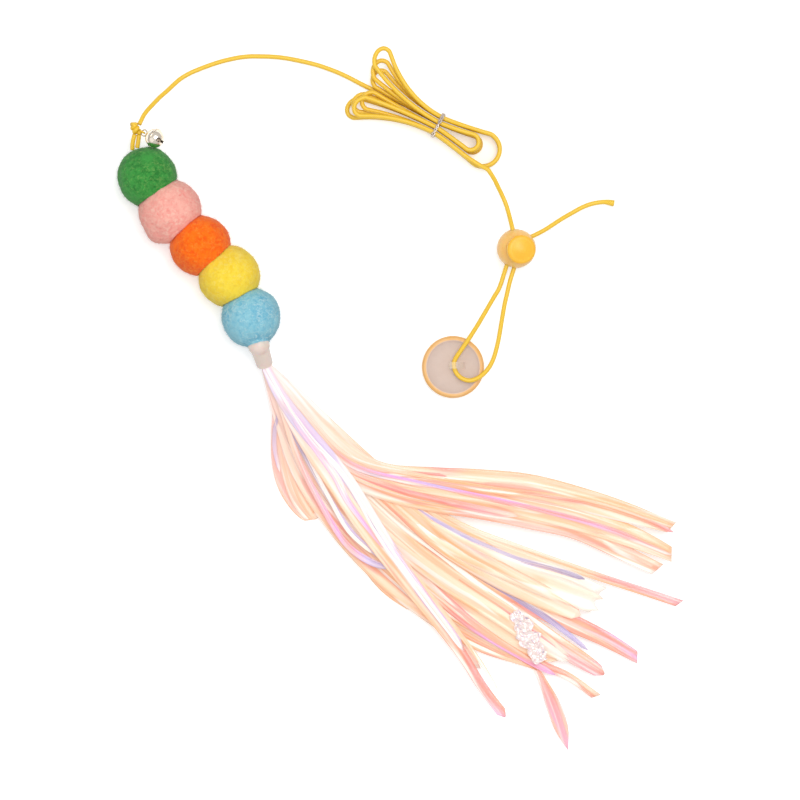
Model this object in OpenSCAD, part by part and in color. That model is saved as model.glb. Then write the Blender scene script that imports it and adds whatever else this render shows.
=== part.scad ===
// Hanging cat teaser: a film tassel and five felt balls on an elastic cord,
// with a jingle bell, a tied hank of spare cord, a cord lock and a stick-on hook.
// It lies as it does when it is laid out on a table: X to the right, Y away, Z up.
// The origin is the middle of the pad's sticky face, which lies on the table.

/* [Felt balls] */
// Diameter of a felt ball
ball_d = 24.4; // [23.4:0.2:25.4]
// Distance from one ball's middle to the next along the string
ball_pitch = 17.5; // [17:0.1:18]
// Across the table from the hook to the first ball's middle
first_ball_x = -121.8; // [-123:0.2:-120.6]
// Along the table from the hook to the first ball's middle
first_ball_y = 75.6; // [74.8:0.2:76.4]
// Gap between a ball and what it is pressed against
felt_gap = 0.3; // [0.3:0.05:0.4]
// Diameter of the string that the balls are threaded on
string_d = 1.8; // [1.6:0.1:2]
// Gap round the string in the felt
string_gap = 0.3; // [0.25:0.05:0.4]

/* [Elastic cord] */
// Diameter of the elastic cord
cord_d = 1.8; // [1.75:0.05:1.85]
// Diameter of the knot above the balls
knot_d = 3.8; // [3.6:0.1:3.9]

/* [Bell] */
// Diameter of the bell's shells
bell_d = 7.6; // [7.3:0.1:7.7]
// Thickness of the pressed brass
bell_wall = 0.4; // [0.35:0.05:0.5]
// How far the crimped seam stands out
bell_seam = 0.25; // [0.2:0.05:0.3]
// Width of the sound slot
bell_slot_w = 1; // [0.8:0.1:1.2]
// Diameter of the holes at the ends of the slot
bell_hole_d = 1.8; // [1.6:0.1:2]
// Diameter of the steel pellet
pellet_d = 2.5; // [2.4:0.1:2.7]
// Inner diameter of the hanging eye
eye_d = 2; // [1.9:0.1:2.1]
// Diameter of the eye's wire
eye_wire = 0.55; // [0.5:0.05:0.6]

/* [Cord lock] */
// Diameter of the barrel
barrel_d = 15.6; // [15.2:0.2:16]
// Diameter of the button's head
button_d = 11.6; // [11:0.2:12]
// Height of the button's head
button_h = 3.6; // [3.2:0.2:4]
// Diameter of the plunger
plunger_d = 8.6; // [8.4:0.1:8.8]
// Travel of the button
button_travel = 2; // [1.8:0.1:2.1]
// Distance between the two cords in the lock
lock_pitch = 3.2; // [3.1:0.05:3.3]
// Gap round the cords in the lock
lock_gap = 0.35; // [0.3:0.05:0.4]
// Gap round the plunger
plunger_gap = 0.15; // [0.1:0.05:0.2]
// Diameter of the spring's wire
spring_wire = 0.5; // [0.45:0.05:0.55]

/* [Hook] */
// Diameter of the clear base
base_d = 24.8; // [24:0.2:25.4]
// Thickness of the clear base
base_t = 2; // [1.8:0.1:2]
// Diameter of the sticky foam pad
pad_d = 21.2; // [20:0.2:22]
// Thickness of the sticky foam pad
pad_t = 1; // [0.8:0.1:1]
// Width of the hook
hook_w = 2.6; // [2.4:0.1:2.6]
// Thickness of the hook's post
post_t = 2.4; // [2.2:0.1:2.4]
// Thickness of the hook's arm
arm_t = 1.6; // [1.4:0.1:1.8]
// Height of the throat under the arm
throat_h = 3; // [2.9:0.1:3.2]
// Reach of the arm past the post
arm_reach = 3.6; // [3.2:0.1:3.8]

/* [Hank] */
// Distance between neighbouring cords at the waist of the hank
hank_pitch = 2.3; // [2.3:0.05:2.4]
// Length of the loops on the side of the balls
hank_left = 38; // [37:0.5:39]
// Length of the loops on the side of the lock
hank_right = 27; // [26:0.5:28]
// Half width of a loop's end on the side of the balls
hank_left_bend = 4; // [3.8:0.1:4.1]
// Half width of an outer loop's end on the side of the lock
hank_right_bend = 6.8; // [6.7:0.1:7]
// Thickness of the twist tie
tie_t = 0.7; // [0.6:0.05:0.8]
// Width of the twist tie
tie_w = 2; // [1.6:0.1:2.4]
// Gap between the tie and the cords
tie_gap = 0.15; // [0.1:0.05:0.2]

/* [Tassel] */
// Length from the sleeve to the longest strip's tip
tassel_l = 196; // [190:1:202]
// Width of a strip of film
strip_w = 4.2; // [3.8:0.1:4.6]
// Thickness of a strip with the air between its folds
strip_t = 0.4; // [0.35:0.05:0.45]
// Height from one layer of strips to the next
layer_h = 1.15; // [1.1:0.05:1.25]
// Diameter of the sleeve's round top
sleeve_top_d = 8.8; // [8.6:0.1:9]
// Diameter of the sleeve's lower end
sleeve_end_d = 6.6; // [6.4:0.1:6.8]
// Wall of the sleeve
sleeve_wall = 0.7; // [0.6:0.05:0.8]
// How deep the middle of the sleeve's round top sits in the last ball
sleeve_sink = 0.1; // [0.05:0.05:0.15]
// Length of the sleeve below its joint
sleeve_l = 9.6; // [9.2:0.1:10]

/* [Hidden] */
$fn = 48;
over = 0.5;
slack = 0.1;

// Points and sweeps
function unit(v) = v / norm(v);
function side_of(t) = unit(cross(t, [0, 0, 1]));
function tangent(p, i) = unit(p[min(i + 1, len(p) - 1)] - p[max(i - 1, 0)]);
function ease(x) = let(c = max(0, min(1, x))) c * c * (3 - 2 * c);
function mix(a, b, x) = a + (b - a) * x;
function flat(l) = [for (a = l) each a];
function sum(v, i = 0) = i < len(v) ? v[i] + sum(v, i + 1) : 0;

// A ring of points round each point of a path, and the skin over the rings
function ring(p, i, shape) =
    let(t = tangent(p, i), s = side_of(t), u = cross(s, t))
    [for (q = shape) p[i] + s * q[0] + u * q[1]];
function skin_faces(rings, n) = concat(
    flat([for (i = [0:rings - 2], k = [0:n - 1])
        let(a = i * n + k, b = i * n + (k + 1) % n)
        [[a, b, a + n], [b, b + n, a + n]]]),
    [for (k = [1:n - 2]) [0, k + 1, k]],
    [for (k = [1:n - 2]) [(rings - 1) * n, (rings - 1) * n + k, (rings - 1) * n + k + 1]]);
module sweep(p, shape)
    polyhedron(points = flat([for (i = [0:len(p) - 1]) ring(p, i, shape)]),
               faces = skin_faces(len(p), len(shape)));
function round_shape(d, n) = [for (k = [0:n - 1]) d / 2 * [cos(360 * k / n), sin(360 * k / n)]];

// The least distance between runs of a path that lie further apart along it than skip
function least_gap(p, skip) = min([for (i = [0:len(p) - 1 - skip])
    min([for (j = [i + skip:len(p) - 1]) norm(p[i] - p[j])])]);
// Points at even steps between the points of a path, to measure on
function filled(p, n) = [for (i = [0:len(p) - 2], k = [0:n - 1]) mix(p[i], p[i + 1], k / n)];

// String of balls
ball_shares = [0.98, 1.04, 1, 1.015, 0.975];
pitch_shares = [0.93, 1.05, 0.955, 1.055];
string_turns = [-56.5, -48.5, -46.9, -62.3];
entry_turn = -61;
tassel_turn = -73.5;
tassel_rise = 12.5;
ball_z = ball_d / 2 * max(ball_shares);
function ball_r(k) = ball_d / 2 * ball_shares[k];
function turned(a) = [cos(a), sin(a), 0];
function ball_at(k) = k == 0 ? [first_ball_x, first_ball_y, ball_z]
    : ball_at(k - 1) + ball_pitch * pitch_shares[k - 1] * turned(string_turns[k - 1]);
function string_in(k) = k == 0 ? turned(entry_turn) : turned(string_turns[k - 1]);
function string_out(k) = k < 4 ? turned(string_turns[k])
    : [cos(tassel_turn) * cos(tassel_rise), sin(tassel_turn) * cos(tassel_rise), sin(tassel_rise)];
sleeve_at = ball_at(4) + (ball_r(4) - sleeve_sink) * string_out(4);
function next_r(k) = k < 4 ? ball_r(k + 1) : sleeve_top_d / 2;
function next_at(k) = k < 4 ? ball_at(k + 1) : sleeve_at;
function bend_at(k) = acos(string_in(k) * string_out(k));

// Turns the Z axis to lie along a direction
module along(v) {
    rotate([0, acos(v[2] / norm(v)), atan2(v[1], v[0])]) children();
}
module rod(a, b, d) {
    translate(a) along(b - a) cylinder(d = d, h = norm(b - a));
}

// Bell and knot
bell_r = bell_d / 2;
bell_at = ball_at(0) + (ball_r(0) + felt_gap + bell_seam + bell_r) * unit([3.2, 15.2, 4.91]);
eye_at = bell_at + [-4.3, 2.2, -2.8];
knot_at = bell_at + [-7.8, 3.8, -3.4];
bell_out = unit(eye_at - bell_at);
eye_axis = unit([0, 0, 1] - bell_out[2] * bell_out);
eye_r = (eye_d + eye_wire) / 2;

// Cord lock
toggle_at = [25.2, 47.2, 7.9];
toggle_turn = 72;
toggle_roll = 12;
cord_slot_w = lock_pitch + cord_d + 2 * lock_gap;
cord_slot_h = cord_d + 2 * lock_gap;
mouth_share = 0.19;
mouth_spread_share = 0.6;
barrel_top = barrel_d * 0.36;
well_floor = -barrel_d * 0.36;
plunger_foot = -cord_slot_h / 2 - plunger_d / 8;

// Hook
post_x = 1.9;
post_y = 0.6;
hook_foot = pad_t + base_t;

// Hank
hank_at = [-6, 96.4, 0];
hank_turn = 152;
tie_lift = tie_t + tie_gap + slack;
run_steps = 5;
bend_steps = 4;
grow_power = [2, 1.3];
lift_run = 9;

// Route of the cord, in points chosen by hand. The lead's first points follow the knot
knot_plan = [-126.4, 94.6, 14.2];
lead_follow = 8;
lead_points = [
    [-124.9, 96.4, 14], [-124.1, 98.2, 13.3], [-122.9, 100.6, 12], [-121.1, 103, 10.3],
    [-119.1, 105.3, 8.4], [-116.6, 108, 6.3], [-114, 110.4, 4.5], [-111.5, 112.9, 3.1],
    [-108.9, 115.2, 2], [-105.3, 117.4, 1.3], [-101.2, 119.2, 1], [-97.2, 120.7, 1],
    [-93.2, 122, 1], [-89.2, 123, 1], [-85.2, 123.8, 1], [-81.2, 124.2, 1], [-77.2, 124.2, 1],
    [-73.2, 124.1, 1], [-69.2, 123.8, 1], [-65.2, 123.2, 1], [-61.2, 122.4, 1],
    [-57.2, 121.5, 1], [-53.2, 120.4, 1], [-49.2, 119, 1], [-45.2, 117.4, 1], [-41.2, 115.5, 1],
    [-37.2, 113.4, 1]];
// A point that is written at height 1 lies on the table
function laid(p) = [p[0], p[1], p[2] > 1 ? p[2] : cord_d / 2];
lead_route = [for (i = [0:len(lead_points) - 1])
    laid(lead_points[i]) + (knot_at - knot_plan) * max(0, 1 - i / lead_follow)];
loop_points = [
    [13.6, 78.8, 8.5], [14.9, 77.2, 8.3], [16.5, 74.7, 7.4], [18, 71.7, 6.2], [19.5, 68.7, 5.2],
    [21, 65.2, 4.9], [22.1, 61.6, 5.6], [22.9, 58.3, 7.2], [23.7, 54.8, 8.6],
    [24.4, 51.3, 8.4], [23.8, 47.7, 8.2], [21.2, 40.1, 8.2], [18.6, 32, 8.2],
    [16.6, 28.4, 7.8], [14.4, 24.6, 7.2], [12.2, 20.8, 6.5], [9.6, 16.4, 5.7],
    [6.4, 11.4, 5], [3.6, 7.3, 4.6], [1.4, 4.1, 4.4], [0.5, 2.2, 4.3], [0.4, 0.4, 4.3],
    [0.8, -1.4, 4.3], [1.9, -3.2, 4.3], [3.8, -4.7, 4.3], [6.2, -5.4, 4.3], [8.6, -5, 4.3],
    [11, -3.7, 4.4], [13.2, -1.7, 4.6], [14.9, 0.7, 4.8], [16.3, 3.8, 5], [17.4, 7.6, 5.3],
    [18.3, 11.8, 5.7], [19, 16, 6.2], [19.7, 20.2, 6.8], [20.5, 24.8, 7.3], [21.5, 29.2, 7.6],
    [22.8, 34.7, 7.6], [24.7, 40.6, 7.6], [26.7, 46.7, 7.6], [28.2, 49.7, 7.5],
    [30.2, 51.4, 7.2], [33, 52.8, 6.7], [36.4, 54.6, 5.8], [40.1, 57, 4.6], [43.8, 59.4, 3.4],
    [47.6, 61.6, 2.3], [51.4, 63.7, 1.5], [55.3, 65.2, 1], [60.2, 66, 1], [64.4, 65.4, 1]];
loop_route = [for (p = loop_points) laid(p)];

module hook_base() {
    color("#f0c98a")
    translate([0, 0, pad_t]) {
        rotate_extrude() polygon([[0, 0], [base_d / 2 - base_t / 4, 0],
            [base_d / 2, base_t / 4], [base_d / 2, base_t * 0.6],
            [base_d / 2 - base_t * 0.4, base_t], [0, base_t]]);
        translate([post_x, post_y + hook_w / 2, base_t]) rotate([90, 0, 0])
            linear_extrude(hook_w) hook_outline();
    }
}

// The hook from the side: the post with its foot, and the arm over the throat
module hook_outline() {
    top = throat_h + arm_t;
    corner = arm_t;
    polygon(concat(
        [[-slack, -slack], [post_t + arm_t / 2, -slack], [post_t + arm_t / 6, arm_t / 4],
         [post_t, arm_t]],
        [for (a = [0:15:90]) [post_t - corner + corner * cos(a), top - corner + corner * sin(a)]],
        [for (a = [90:30:270]) [-arm_reach + arm_t / 2 * (1 + cos(a)), top - arm_t / 2 + arm_t / 2 * sin(a)]],
        [for (a = [90:-30:0]) [-arm_t / 3 + arm_t / 3 * cos(a), throat_h - arm_t / 3 + arm_t / 3 * sin(a)]]));
}

module adhesive_pad() {
    color("#ead9d6") cylinder(d = pad_d, h = pad_t);
}

// The overhand knot: two close turns of cord, pulled tight
knot_cord_r = knot_d * 0.24;
module cord_knot() {
    reach = knot_d / 2 - knot_cord_r;
    color("#f2c52e") translate(knot_at) along(string_in(0)) rotate_extrude() {
        for (z = [-1, 1]) translate([reach, z * knot_cord_r * 0.9]) circle(r = knot_cord_r);
        translate([0, -knot_cord_r * 1.7]) square([reach, knot_cord_r * 3.4]);
    }
}

// The loop of stretched cord that runs from the knot through the bell's eye and back
bell_loop_d = cord_d * 0.36;
bell_loop_steps = 8;
module bell_loop() {
    r = eye_r * 0.84;
    middle = eye_at + r * bell_out;
    arm = 0.3 * eye_r;
    bow = [for (i = [0:bell_loop_steps]) let(a = 90 - 180 * i / bell_loop_steps)
        middle - r * cos(a) * bell_out + r * sin(a) * eye_axis];
    color("#f2c52e") sweep(concat([bow[0] + arm * bell_out], bow, [bow[bell_loop_steps] + arm * bell_out]),
        round_shape(bell_loop_d, 6));
}

// The two ends of cord between the knot and the first ball
drop_foot = ball_at(0) - (ball_r(0) + felt_gap + 3 * slack) * string_in(0);
drop_side = [cord_d + 2 * slack, slack, 0];
module cord_drop() {
    color("#f2c52e") {
        start = mix(knot_at, drop_foot, 0.28);
        rod(start, drop_foot, cord_d);
        rod(start + drop_side - cord_d * [0.18, 0.15, 0.25],
            drop_foot + drop_side * 0.97 + [0, cord_d * 0.4, 0], cord_d);
    }
}

module cord_lead() {
    color("#f4c832") sweep(lead_route, round_shape(cord_d, 8));
}

module cord_loop() {
    color("#f4c832") sweep(loop_route, round_shape(cord_d, 8));
}

// Hank: each loop runs out from the waist, bends and comes back.
// A loop is [turn from the hank's line, share of the length, share of the bend,
//            first place and second place across the waist, first and second layer].
// Places and layers count from the middle and from the table, in pitches.
left_loops = [
    [13, 0.97, 1, -0.5, -1.5, 0, 0],
    [-7, 0.86, 0.9, 1.5, 0.5, 1, 1], [8, 0.92, 0.92, -0.5, -1.5, 1, 1],
    [-13, 0.92, 1, 1.5, 0.5, 2, 2], [4, 0.84, 0.9, -0.5, -1.5, 2, 2],
    [-20, 1, 1, 1.5, 0.5, 3, 3], [11, 0.9, 0.95, -0.5, -1.5, 3, 3]];
right_loops = [
    [0, 0.7, 0.48, 0.5, -0.5, 0, 0], [0, 1, 1, -1.5, 1.5, 0, 1],
    [0, 0.68, 0.48, 0.5, -0.5, 1, 1], [0, 1, 1, -1.5, 1.5, 1, 2],
    [0, 0.66, 0.48, 0.5, -0.5, 2, 2], [0, 1, 1, -1.5, 1.5, 2, 3],
    [1, 0.66, 0.48, 0.5, -0.5, 3, 3]];

// A point of a loop at distance s from the waist and at y across the loop's line
function hank_point(turn, full, s, y, layer) =
    let(base = hank_turn + (turn[0] == 0 ? 0 : 180),
        a = base + turn[1] * s / full,
        out = [cos(a), sin(a), 0],
        across = [cos(hank_turn - 90), sin(hank_turn - 90), 0],
        tip = [cos(a - 90), sin(a - 90), 0] * (turn[0] == 0 ? 1 : -1),
        side = unit(mix(across, tip, ease(s / full * 2))))
    hank_at + out * s + side * y
        + [0, 0, cord_d / 2 + layer * hank_pitch + tie_lift * (1 - ease(s / lift_run))];

// The half loop as a list of points, left when side is 0 and right when it is 1
function half_loop(side, l, length, bend) =
    let(full = l[1] * length,
        wide = l[2] * bend,
        run = full - wide,
        mid = (l[3] + l[4]) / 2 * hank_pitch,
        half = abs(l[3] - l[4]) / 2 * hank_pitch,
        way = l[3] > l[4] ? 1 : -1,
        turn = [side, l[0]])
    concat(
        [for (i = [0:run_steps - 1]) let(x = i / run_steps, s = run * x,
                h = mix(half, wide, pow(x, grow_power[side])))
            hank_point(turn, full, s, mid + way * h, l[5])],
        [for (i = [0:bend_steps]) let(a = 90 - 180 * i / bend_steps)
            hank_point(turn, full, run + wide * cos(a), mid + way * wide * sin(a), l[5])],
        [for (i = [run_steps - 1:-1:1]) let(x = i / run_steps, s = run * x,
                h = mix(half, wide, pow(x, grow_power[side])))
            hank_point(turn, full, s, mid - way * h, mix(l[5], l[6], min(1, (1 - x) / 0.8)))]);

lead_last = lead_route[len(lead_route) - 1];
lead_stop = unit(lead_last - lead_route[len(lead_route) - 2]);
hank_in = concat([for (k = [slack, 0.6 * cord_d]) lead_last + k * lead_stop], [[-33.6, 111.6, cord_d / 2], [-28, 108.9, cord_d / 2]],
    [for (s = [17, 12, 6.4]) hank_point([0, 0], hank_left, s, 0.5 * hank_pitch, 0)]);
loop_start = unit(loop_route[1] - loop_route[0]);
hank_out = concat([for (q = [[0, -1.5], [5.5, -1.77], [10, -2.12], [16, -2.6], [21.5, -2.87]])
    hank_point([1, 0], hank_right, q[0], q[1] * hank_pitch, 3)],
    [for (k = [0.6 * cord_d, slack]) loop_route[0] - k * loop_start]);
hank_route = concat(
    hank_in,
    flat([for (i = [0:len(right_loops) - 1]) concat(
        half_loop(1, right_loops[i], hank_right, hank_right_bend),
        half_loop(0, left_loops[i], hank_left, hank_left_bend))]),
    hank_out);
module cord_hank() {
    color("#f4c832") sweep(hank_route, round_shape(cord_d, 6));
}

// The wire tie: a band round the waist and its twisted ends
tie_in = 3 * hank_pitch + cord_d + 2 * tie_gap;
module tie_outline(size) {
    r = cord_d / 2 + tie_gap;
    translate([-size / 2 + r, -size / 2]) square([size - 2 * r, size]);
    translate([-size / 2, -size / 2 + r]) square([size, size - 2 * r]);
    for (x = [-1, 1], y = [-1, 1])
        translate([x, y] * (size / 2 - r)) circle(r = r);
}
module hank_tie() {
    color("#c9c4bb")
    translate(hank_at + [0, 0, tie_t + slack + tie_in / 2])
    rotate([0, 0, hank_turn - 90]) rotate([90, 0, 0]) {
        translate([0, 0, -tie_w / 2]) linear_extrude(tie_w) difference() {
            tie_outline(tie_in + 2 * tie_t);
            tie_outline(tie_in);
        }
        for (a = [22, -8])
            translate([tie_in * 0.1, tie_in / 2 + tie_t / 2, 0]) rotate([0, 90 + a / 4, a + 14])
                cylinder(d = tie_t, h = tie_in * 0.42);
    }
}

// Cord lock, made about the middle of the cord slot
module toggle_place() {
    translate(toggle_at) rotate([0, 0, toggle_turn - 90]) rotate([0, toggle_roll, 0]) children();
}
// The slot for the two cords, which opens wider on the side of the hank
module cord_slot(h, z) {
    half = cord_slot_w / 2;
    start = barrel_d * mouth_share / 2;
    wide = half + (barrel_d / 2 - start) * mouth_spread_share;
    translate([0, 0, z]) linear_extrude(h)
        polygon([[-half, -barrel_d / 2 - over], [half, -barrel_d / 2 - over], [half, start],
                 [wide, barrel_d / 2], [wide, barrel_d / 2 + over],
                 [-wide, barrel_d / 2 + over], [-wide, barrel_d / 2], [-half, start]]);
}
module toggle_barrel() {
    color("#f3c077") toggle_place() difference() {
        sphere(d = barrel_d);
        translate([0, 0, barrel_top]) cylinder(d = barrel_d, h = barrel_d);
        translate([0, 0, well_floor]) cylinder(d = plunger_d + 2 * plunger_gap, h = barrel_d);
        cord_slot(cord_slot_h, -cord_slot_h / 2);
    }
}
module toggle_button() {
    color("#f6b92f") toggle_place() {
        difference() {
            translate([0, 0, plunger_foot])
                cylinder(d = plunger_d, h = barrel_top + button_travel + over - plunger_foot);
            cord_slot(cord_slot_h + button_travel, -cord_slot_h / 2);
            translate([0, 0, plunger_foot - over]) cylinder(d = plunger_d / 3, h = over + plunger_d / 16);
        }
        translate([0, 0, barrel_top + button_travel + slack]) rotate_extrude() button_profile();
    }
}
// Half section of the button's head: a straight edge under a low dome
module button_profile() {
    r = button_d / 2;
    edge = button_h * 0.45;
    polygon(concat([[0, 0], [r - edge / 3, 0], [r, edge / 3]],
        [for (a = [0:10:90]) [r - edge + edge * cos(a), edge * 0.9 + edge * 0.75 * sin(a)]],
        [for (x = [0.5, 0.25, 0]) [r * x, button_h - (button_h - edge * 1.65) * x * x * 2.2]]));
}
spring_r = plunger_d / 2 - spring_wire * 2.2;
spring_turns = 2.5;
spring_steps = 10;
module toggle_spring() {
    low = well_floor + spring_wire / 2 + slack;
    high = plunger_foot - spring_wire / 2 - slack;
    coil = [for (i = [0:spring_turns * spring_steps]) let(a = 360 * i / spring_steps)
        [spring_r * cos(a), spring_r * sin(a), mix(low, high, i / spring_turns / spring_steps)]];
    color("silver") toggle_place() sweep(coil, round_shape(spring_wire, 6));
}

// Bell, with its axis running out through the eye
module bell_place() {
    translate(bell_at) along(bell_out) children();
}
module half_shell() {
    difference() {
        union() {
            sphere(r = bell_r);
            cylinder(r = bell_r + bell_seam, h = bell_wall * 1.6, center = true);
        }
        sphere(r = bell_r - bell_wall);
        translate([0, 0, -bell_d]) cylinder(r = bell_d, h = bell_d);
    }
}
module bell_upper_shell() {
    color("#cfcabd") bell_place() translate([0, 0, slack / 2]) half_shell();
}
module bell_lower_shell() {
    color("#cfcabd") bell_place() translate([0, 0, -slack / 2]) mirror([0, 0, 1]) difference() {
        half_shell();
        translate([-bell_r / 2, -bell_slot_w / 2, 0]) cube([bell_r, bell_slot_w, bell_d]);
        for (x = [-1, 1])
            translate([x * bell_r / 2, 0, bell_r / 2]) cylinder(d = bell_hole_d, h = bell_d);
    }
}
// The wire eye and its stem, which is pressed against the upper shell
module bell_eye() {
    reach = norm(eye_at - bell_at);
    color("#bdb8ac") {
        translate(eye_at) along(eye_axis)
            rotate_extrude() translate([eye_r, 0]) circle(d = eye_wire);
        bell_place() translate([0, 0, bell_r + slack])
            cylinder(d = eye_wire * 0.7, h = reach - bell_r - slack - eye_r);
    }
}
module bell_pellet() {
    color("#8f8c86")
    translate(bell_at - [0, 0, bell_r - bell_wall - pellet_d / 2 - slack]) sphere(d = pellet_d);
}

// A felt ball, hollowed below where the next ball or the sleeve sits,
// with a hole along the string that widens upwards where the string bends
module felt_ball(k, tint) {
    hole = string_d + 2 * string_gap;
    mouth = hole + 2 * ball_r(k) * tan(bend_at(k));
    color(tint) difference() {
        translate(ball_at(k)) along(string_out(k)) sphere(r = ball_r(k));
        translate(next_at(k)) sphere(r = next_r(k) + felt_gap * (k < 4 ? 1 : 1.7));
        translate(ball_at(k)) along(string_out(k)) {
            cylinder(d = hole, h = ball_r(k) + over);
            translate([0, 0, -ball_r(k)]) cylinder(d1 = mouth, d2 = hole, h = ball_r(k));
            translate([0, 0, -ball_r(k) - over]) cylinder(d = mouth, h = over + slack);
        }
    }
}
module ball_green() { felt_ball(0, "#559547"); }
module ball_pink() { felt_ball(1, "#edb09e"); }
module ball_orange() { felt_ball(2, "#f37a27"); }
module ball_yellow() { felt_ball(3, "#ecd54d"); }
module ball_blue() { felt_ball(4, "#91c3cf"); }

// The string inside one ball, which bends at the ball's middle
module ball_string(k) {
    c = ball_at(k);
    top = c - (ball_r(k) - slack) * string_in(k);
    foot = c + (norm(next_at(k) - c) - next_r(k) - felt_gap - slack) * string_out(k);
    color("#e9b93a") sweep([top, mix(top, c, 0.85), c, mix(foot, c, 0.7), foot], round_shape(string_d, 8));
}
module string_green() { ball_string(0); }
module string_pink() { ball_string(1); }
module string_orange() { ball_string(2); }
module string_yellow() { ball_string(3); }
module string_blue() { ball_string(4); }

// Sleeve: a round-topped tube that narrows towards the strips
sleeve_drop = -35;
sleeve_out = [cos(tassel_turn) * cos(sleeve_drop), sin(tassel_turn) * cos(sleeve_drop), sin(sleeve_drop)];
sleeve_end = sleeve_at + sleeve_l * sleeve_out;
root_in = sleeve_l * 0.4;
sleeve_bore = sleeve_end_d - 2 * sleeve_wall;
module tassel_sleeve() {
    color("#e8ded6") translate(sleeve_at) along(sleeve_out) difference() {
        union() {
            sphere(d = sleeve_top_d);
            cylinder(d1 = sleeve_top_d * 0.86, d2 = sleeve_end_d, h = sleeve_l);
        }
        translate([0, 0, sleeve_l - root_in - sleeve_wall])
            cylinder(d = sleeve_bore, h = root_in + sleeve_wall + over);
        translate([0, 0, -sleeve_top_d]) cylinder(d = string_d + 2 * string_gap, h = 2 * sleeve_top_d);
    }
}
// The string's end knot, which holds the strips in the sleeve
module tassel_knot() {
    color("#e9b93a") translate(sleeve_at) along(sleeve_out) {
        translate([0, 0, -sleeve_top_d / 2 + slack])
            cylinder(d = string_d, h = sleeve_top_d / 2 + sleeve_l - root_in - sleeve_wall);
        translate([0, 0, sleeve_l - root_in - sleeve_wall + slack])
            cylinder(d = sleeve_bore - 4 * slack, h = sleeve_wall - 2 * slack);
    }
}

// Tassel: each layer is a hand of strips that leave the sleeve as one sheet and part.
// A strip is [turn of its tip, share of the tassel's length, sway near the sleeve,
//             share of its reach where the sway starts to die, share where it has gone].
strip_steps = 13;
layers = 7;
root_pitch_share = 0.5;
root_thin_share = 0.7;
fall_share = 0.28;
sleeve_side = [-sin(tassel_turn), cos(tassel_turn), 0];
sleeve_up = cross(sleeve_out, sleeve_side);
function strip_x(i) = pow(i / strip_steps, 1.4);
function strip_turn(strip, x) =
    strip[0] + strip[2] * (1 - ease((x - strip[3]) / (strip[4] - strip[3])));
function strip_point(strip, i, layer, side) =
    let(x = strip_x(i), s = x * strip[1] * tassel_l, a = strip_turn(strip, x),
        root_z = (layer - (layers - 1) / 2) * layer_h * root_pitch_share,
        rest_z = strip_t / 2 + layer * layer_h)
    [sleeve_end[0] + s * cos(a) - side * strip_w / 2 * sin(a),
     sleeve_end[1] + s * sin(a) + side * strip_w / 2 * cos(a),
     mix(sleeve_end[2] + root_z, rest_z, ease(s / tassel_l / fall_share))];
// Edges of the hand at one step: shared edges while it is a sheet, two to a strip after that
function sheet_edges(strips, i, layer) =
    let(n = len(strips), a = strip_point(strips[0], i, layer, 1),
        b = strip_point(strips[n - 1], i, layer, -1))
    [for (k = [0:n]) mix(a, b, k / n)];
function strip_edges(strips, i, layer) =
    [for (s = strips, side = [1, -1]) strip_point(s, i, layer, side)];
function doubled(p, t = strip_t) = concat([for (q = p) q + [0, 0, t / 2]], [for (q = p) q - [0, 0, t / 2]]);
// Edges of a sheet in the sleeve, where the sheets lie on each other as a round bundle
function root_edges(n, layer) =
    let(h = (layer - (layers - 1) / 2) * layer_h * root_pitch_share,
        half = sqrt(pow(sleeve_bore / 2 - 1.5 * slack, 2) - pow(abs(h) + strip_t * root_thin_share / 2, 2)))
    [for (k = [0:n]) sleeve_end + sleeve_up * h + sleeve_side * half * (1 - 2 * k / n)];
// Two triangles of a face that has four corners
function quad(a, b, c, d) = [[a, c, b], [a, d, c]];
module hand(strips, layer, part, tint) {
    n = len(strips);
    parted = ceil(part * strip_steps);
    fan = n + 1;
    pair = 2 * n;
    root = root_edges(n, layer);
    back = [for (q = root) q - (root_in - slack) * sleeve_out];
    thin = strip_t * root_thin_share;
    points = concat(doubled(back, thin), doubled(root, thin),
        flat([for (i = [1:parted]) doubled(sheet_edges(strips, i, layer))]),
        flat([for (i = [parted + 1:strip_steps]) doubled(strip_edges(strips, i, layer))]));
    last_sheet = (parted + 1) * 2 * fan;
    first_pair = last_sheet + 2 * fan;
    faces = concat(
        flat([for (i = [0:parted], k = [0:n - 1]) let(a = i * 2 * fan + k, b = a + 2 * fan) concat(
            quad(a, a + 1, b + 1, b), quad(a + fan, b + fan, b + fan + 1, a + fan + 1))]),
        flat([for (i = [0:parted]) let(a = i * 2 * fan, b = a + 2 * fan) concat(
            quad(a, b, b + fan, a + fan), quad(a + n, a + n + fan, b + n + fan, b + n))]),
        flat([for (k = [0:n - 1]) quad(k, k + fan, k + fan + 1, k + 1)]),
        flat([for (k = [0:n - 1]) let(a = last_sheet + k, b = first_pair + 2 * k) concat(
            quad(a, a + 1, b + 1, b), quad(a + fan, b + pair, b + pair + 1, a + fan + 1),
            quad(a, b, b + pair, a + fan), quad(a + 1, a + 1 + fan, b + 1 + pair, b + 1))]),
        flat([for (i = [0:strip_steps - parted - 2], k = [0:n - 1])
            let(a = first_pair + i * 2 * pair + 2 * k, b = a + 2 * pair) concat(
            quad(a, a + 1, b + 1, b), quad(a + pair, b + pair, b + pair + 1, a + pair + 1),
            quad(a, b, b + pair, a + pair), quad(a + 1, a + 1 + pair, b + 1 + pair, b + 1))]),
        flat([for (k = [0:n - 1]) let(a = first_pair + (strip_steps - parted - 1) * 2 * pair + 2 * k)
            quad(a, a + 1, a + 1 + pair, a + pair)]));
    color(tint) polyhedron(points = points, faces = faces);
}
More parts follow.
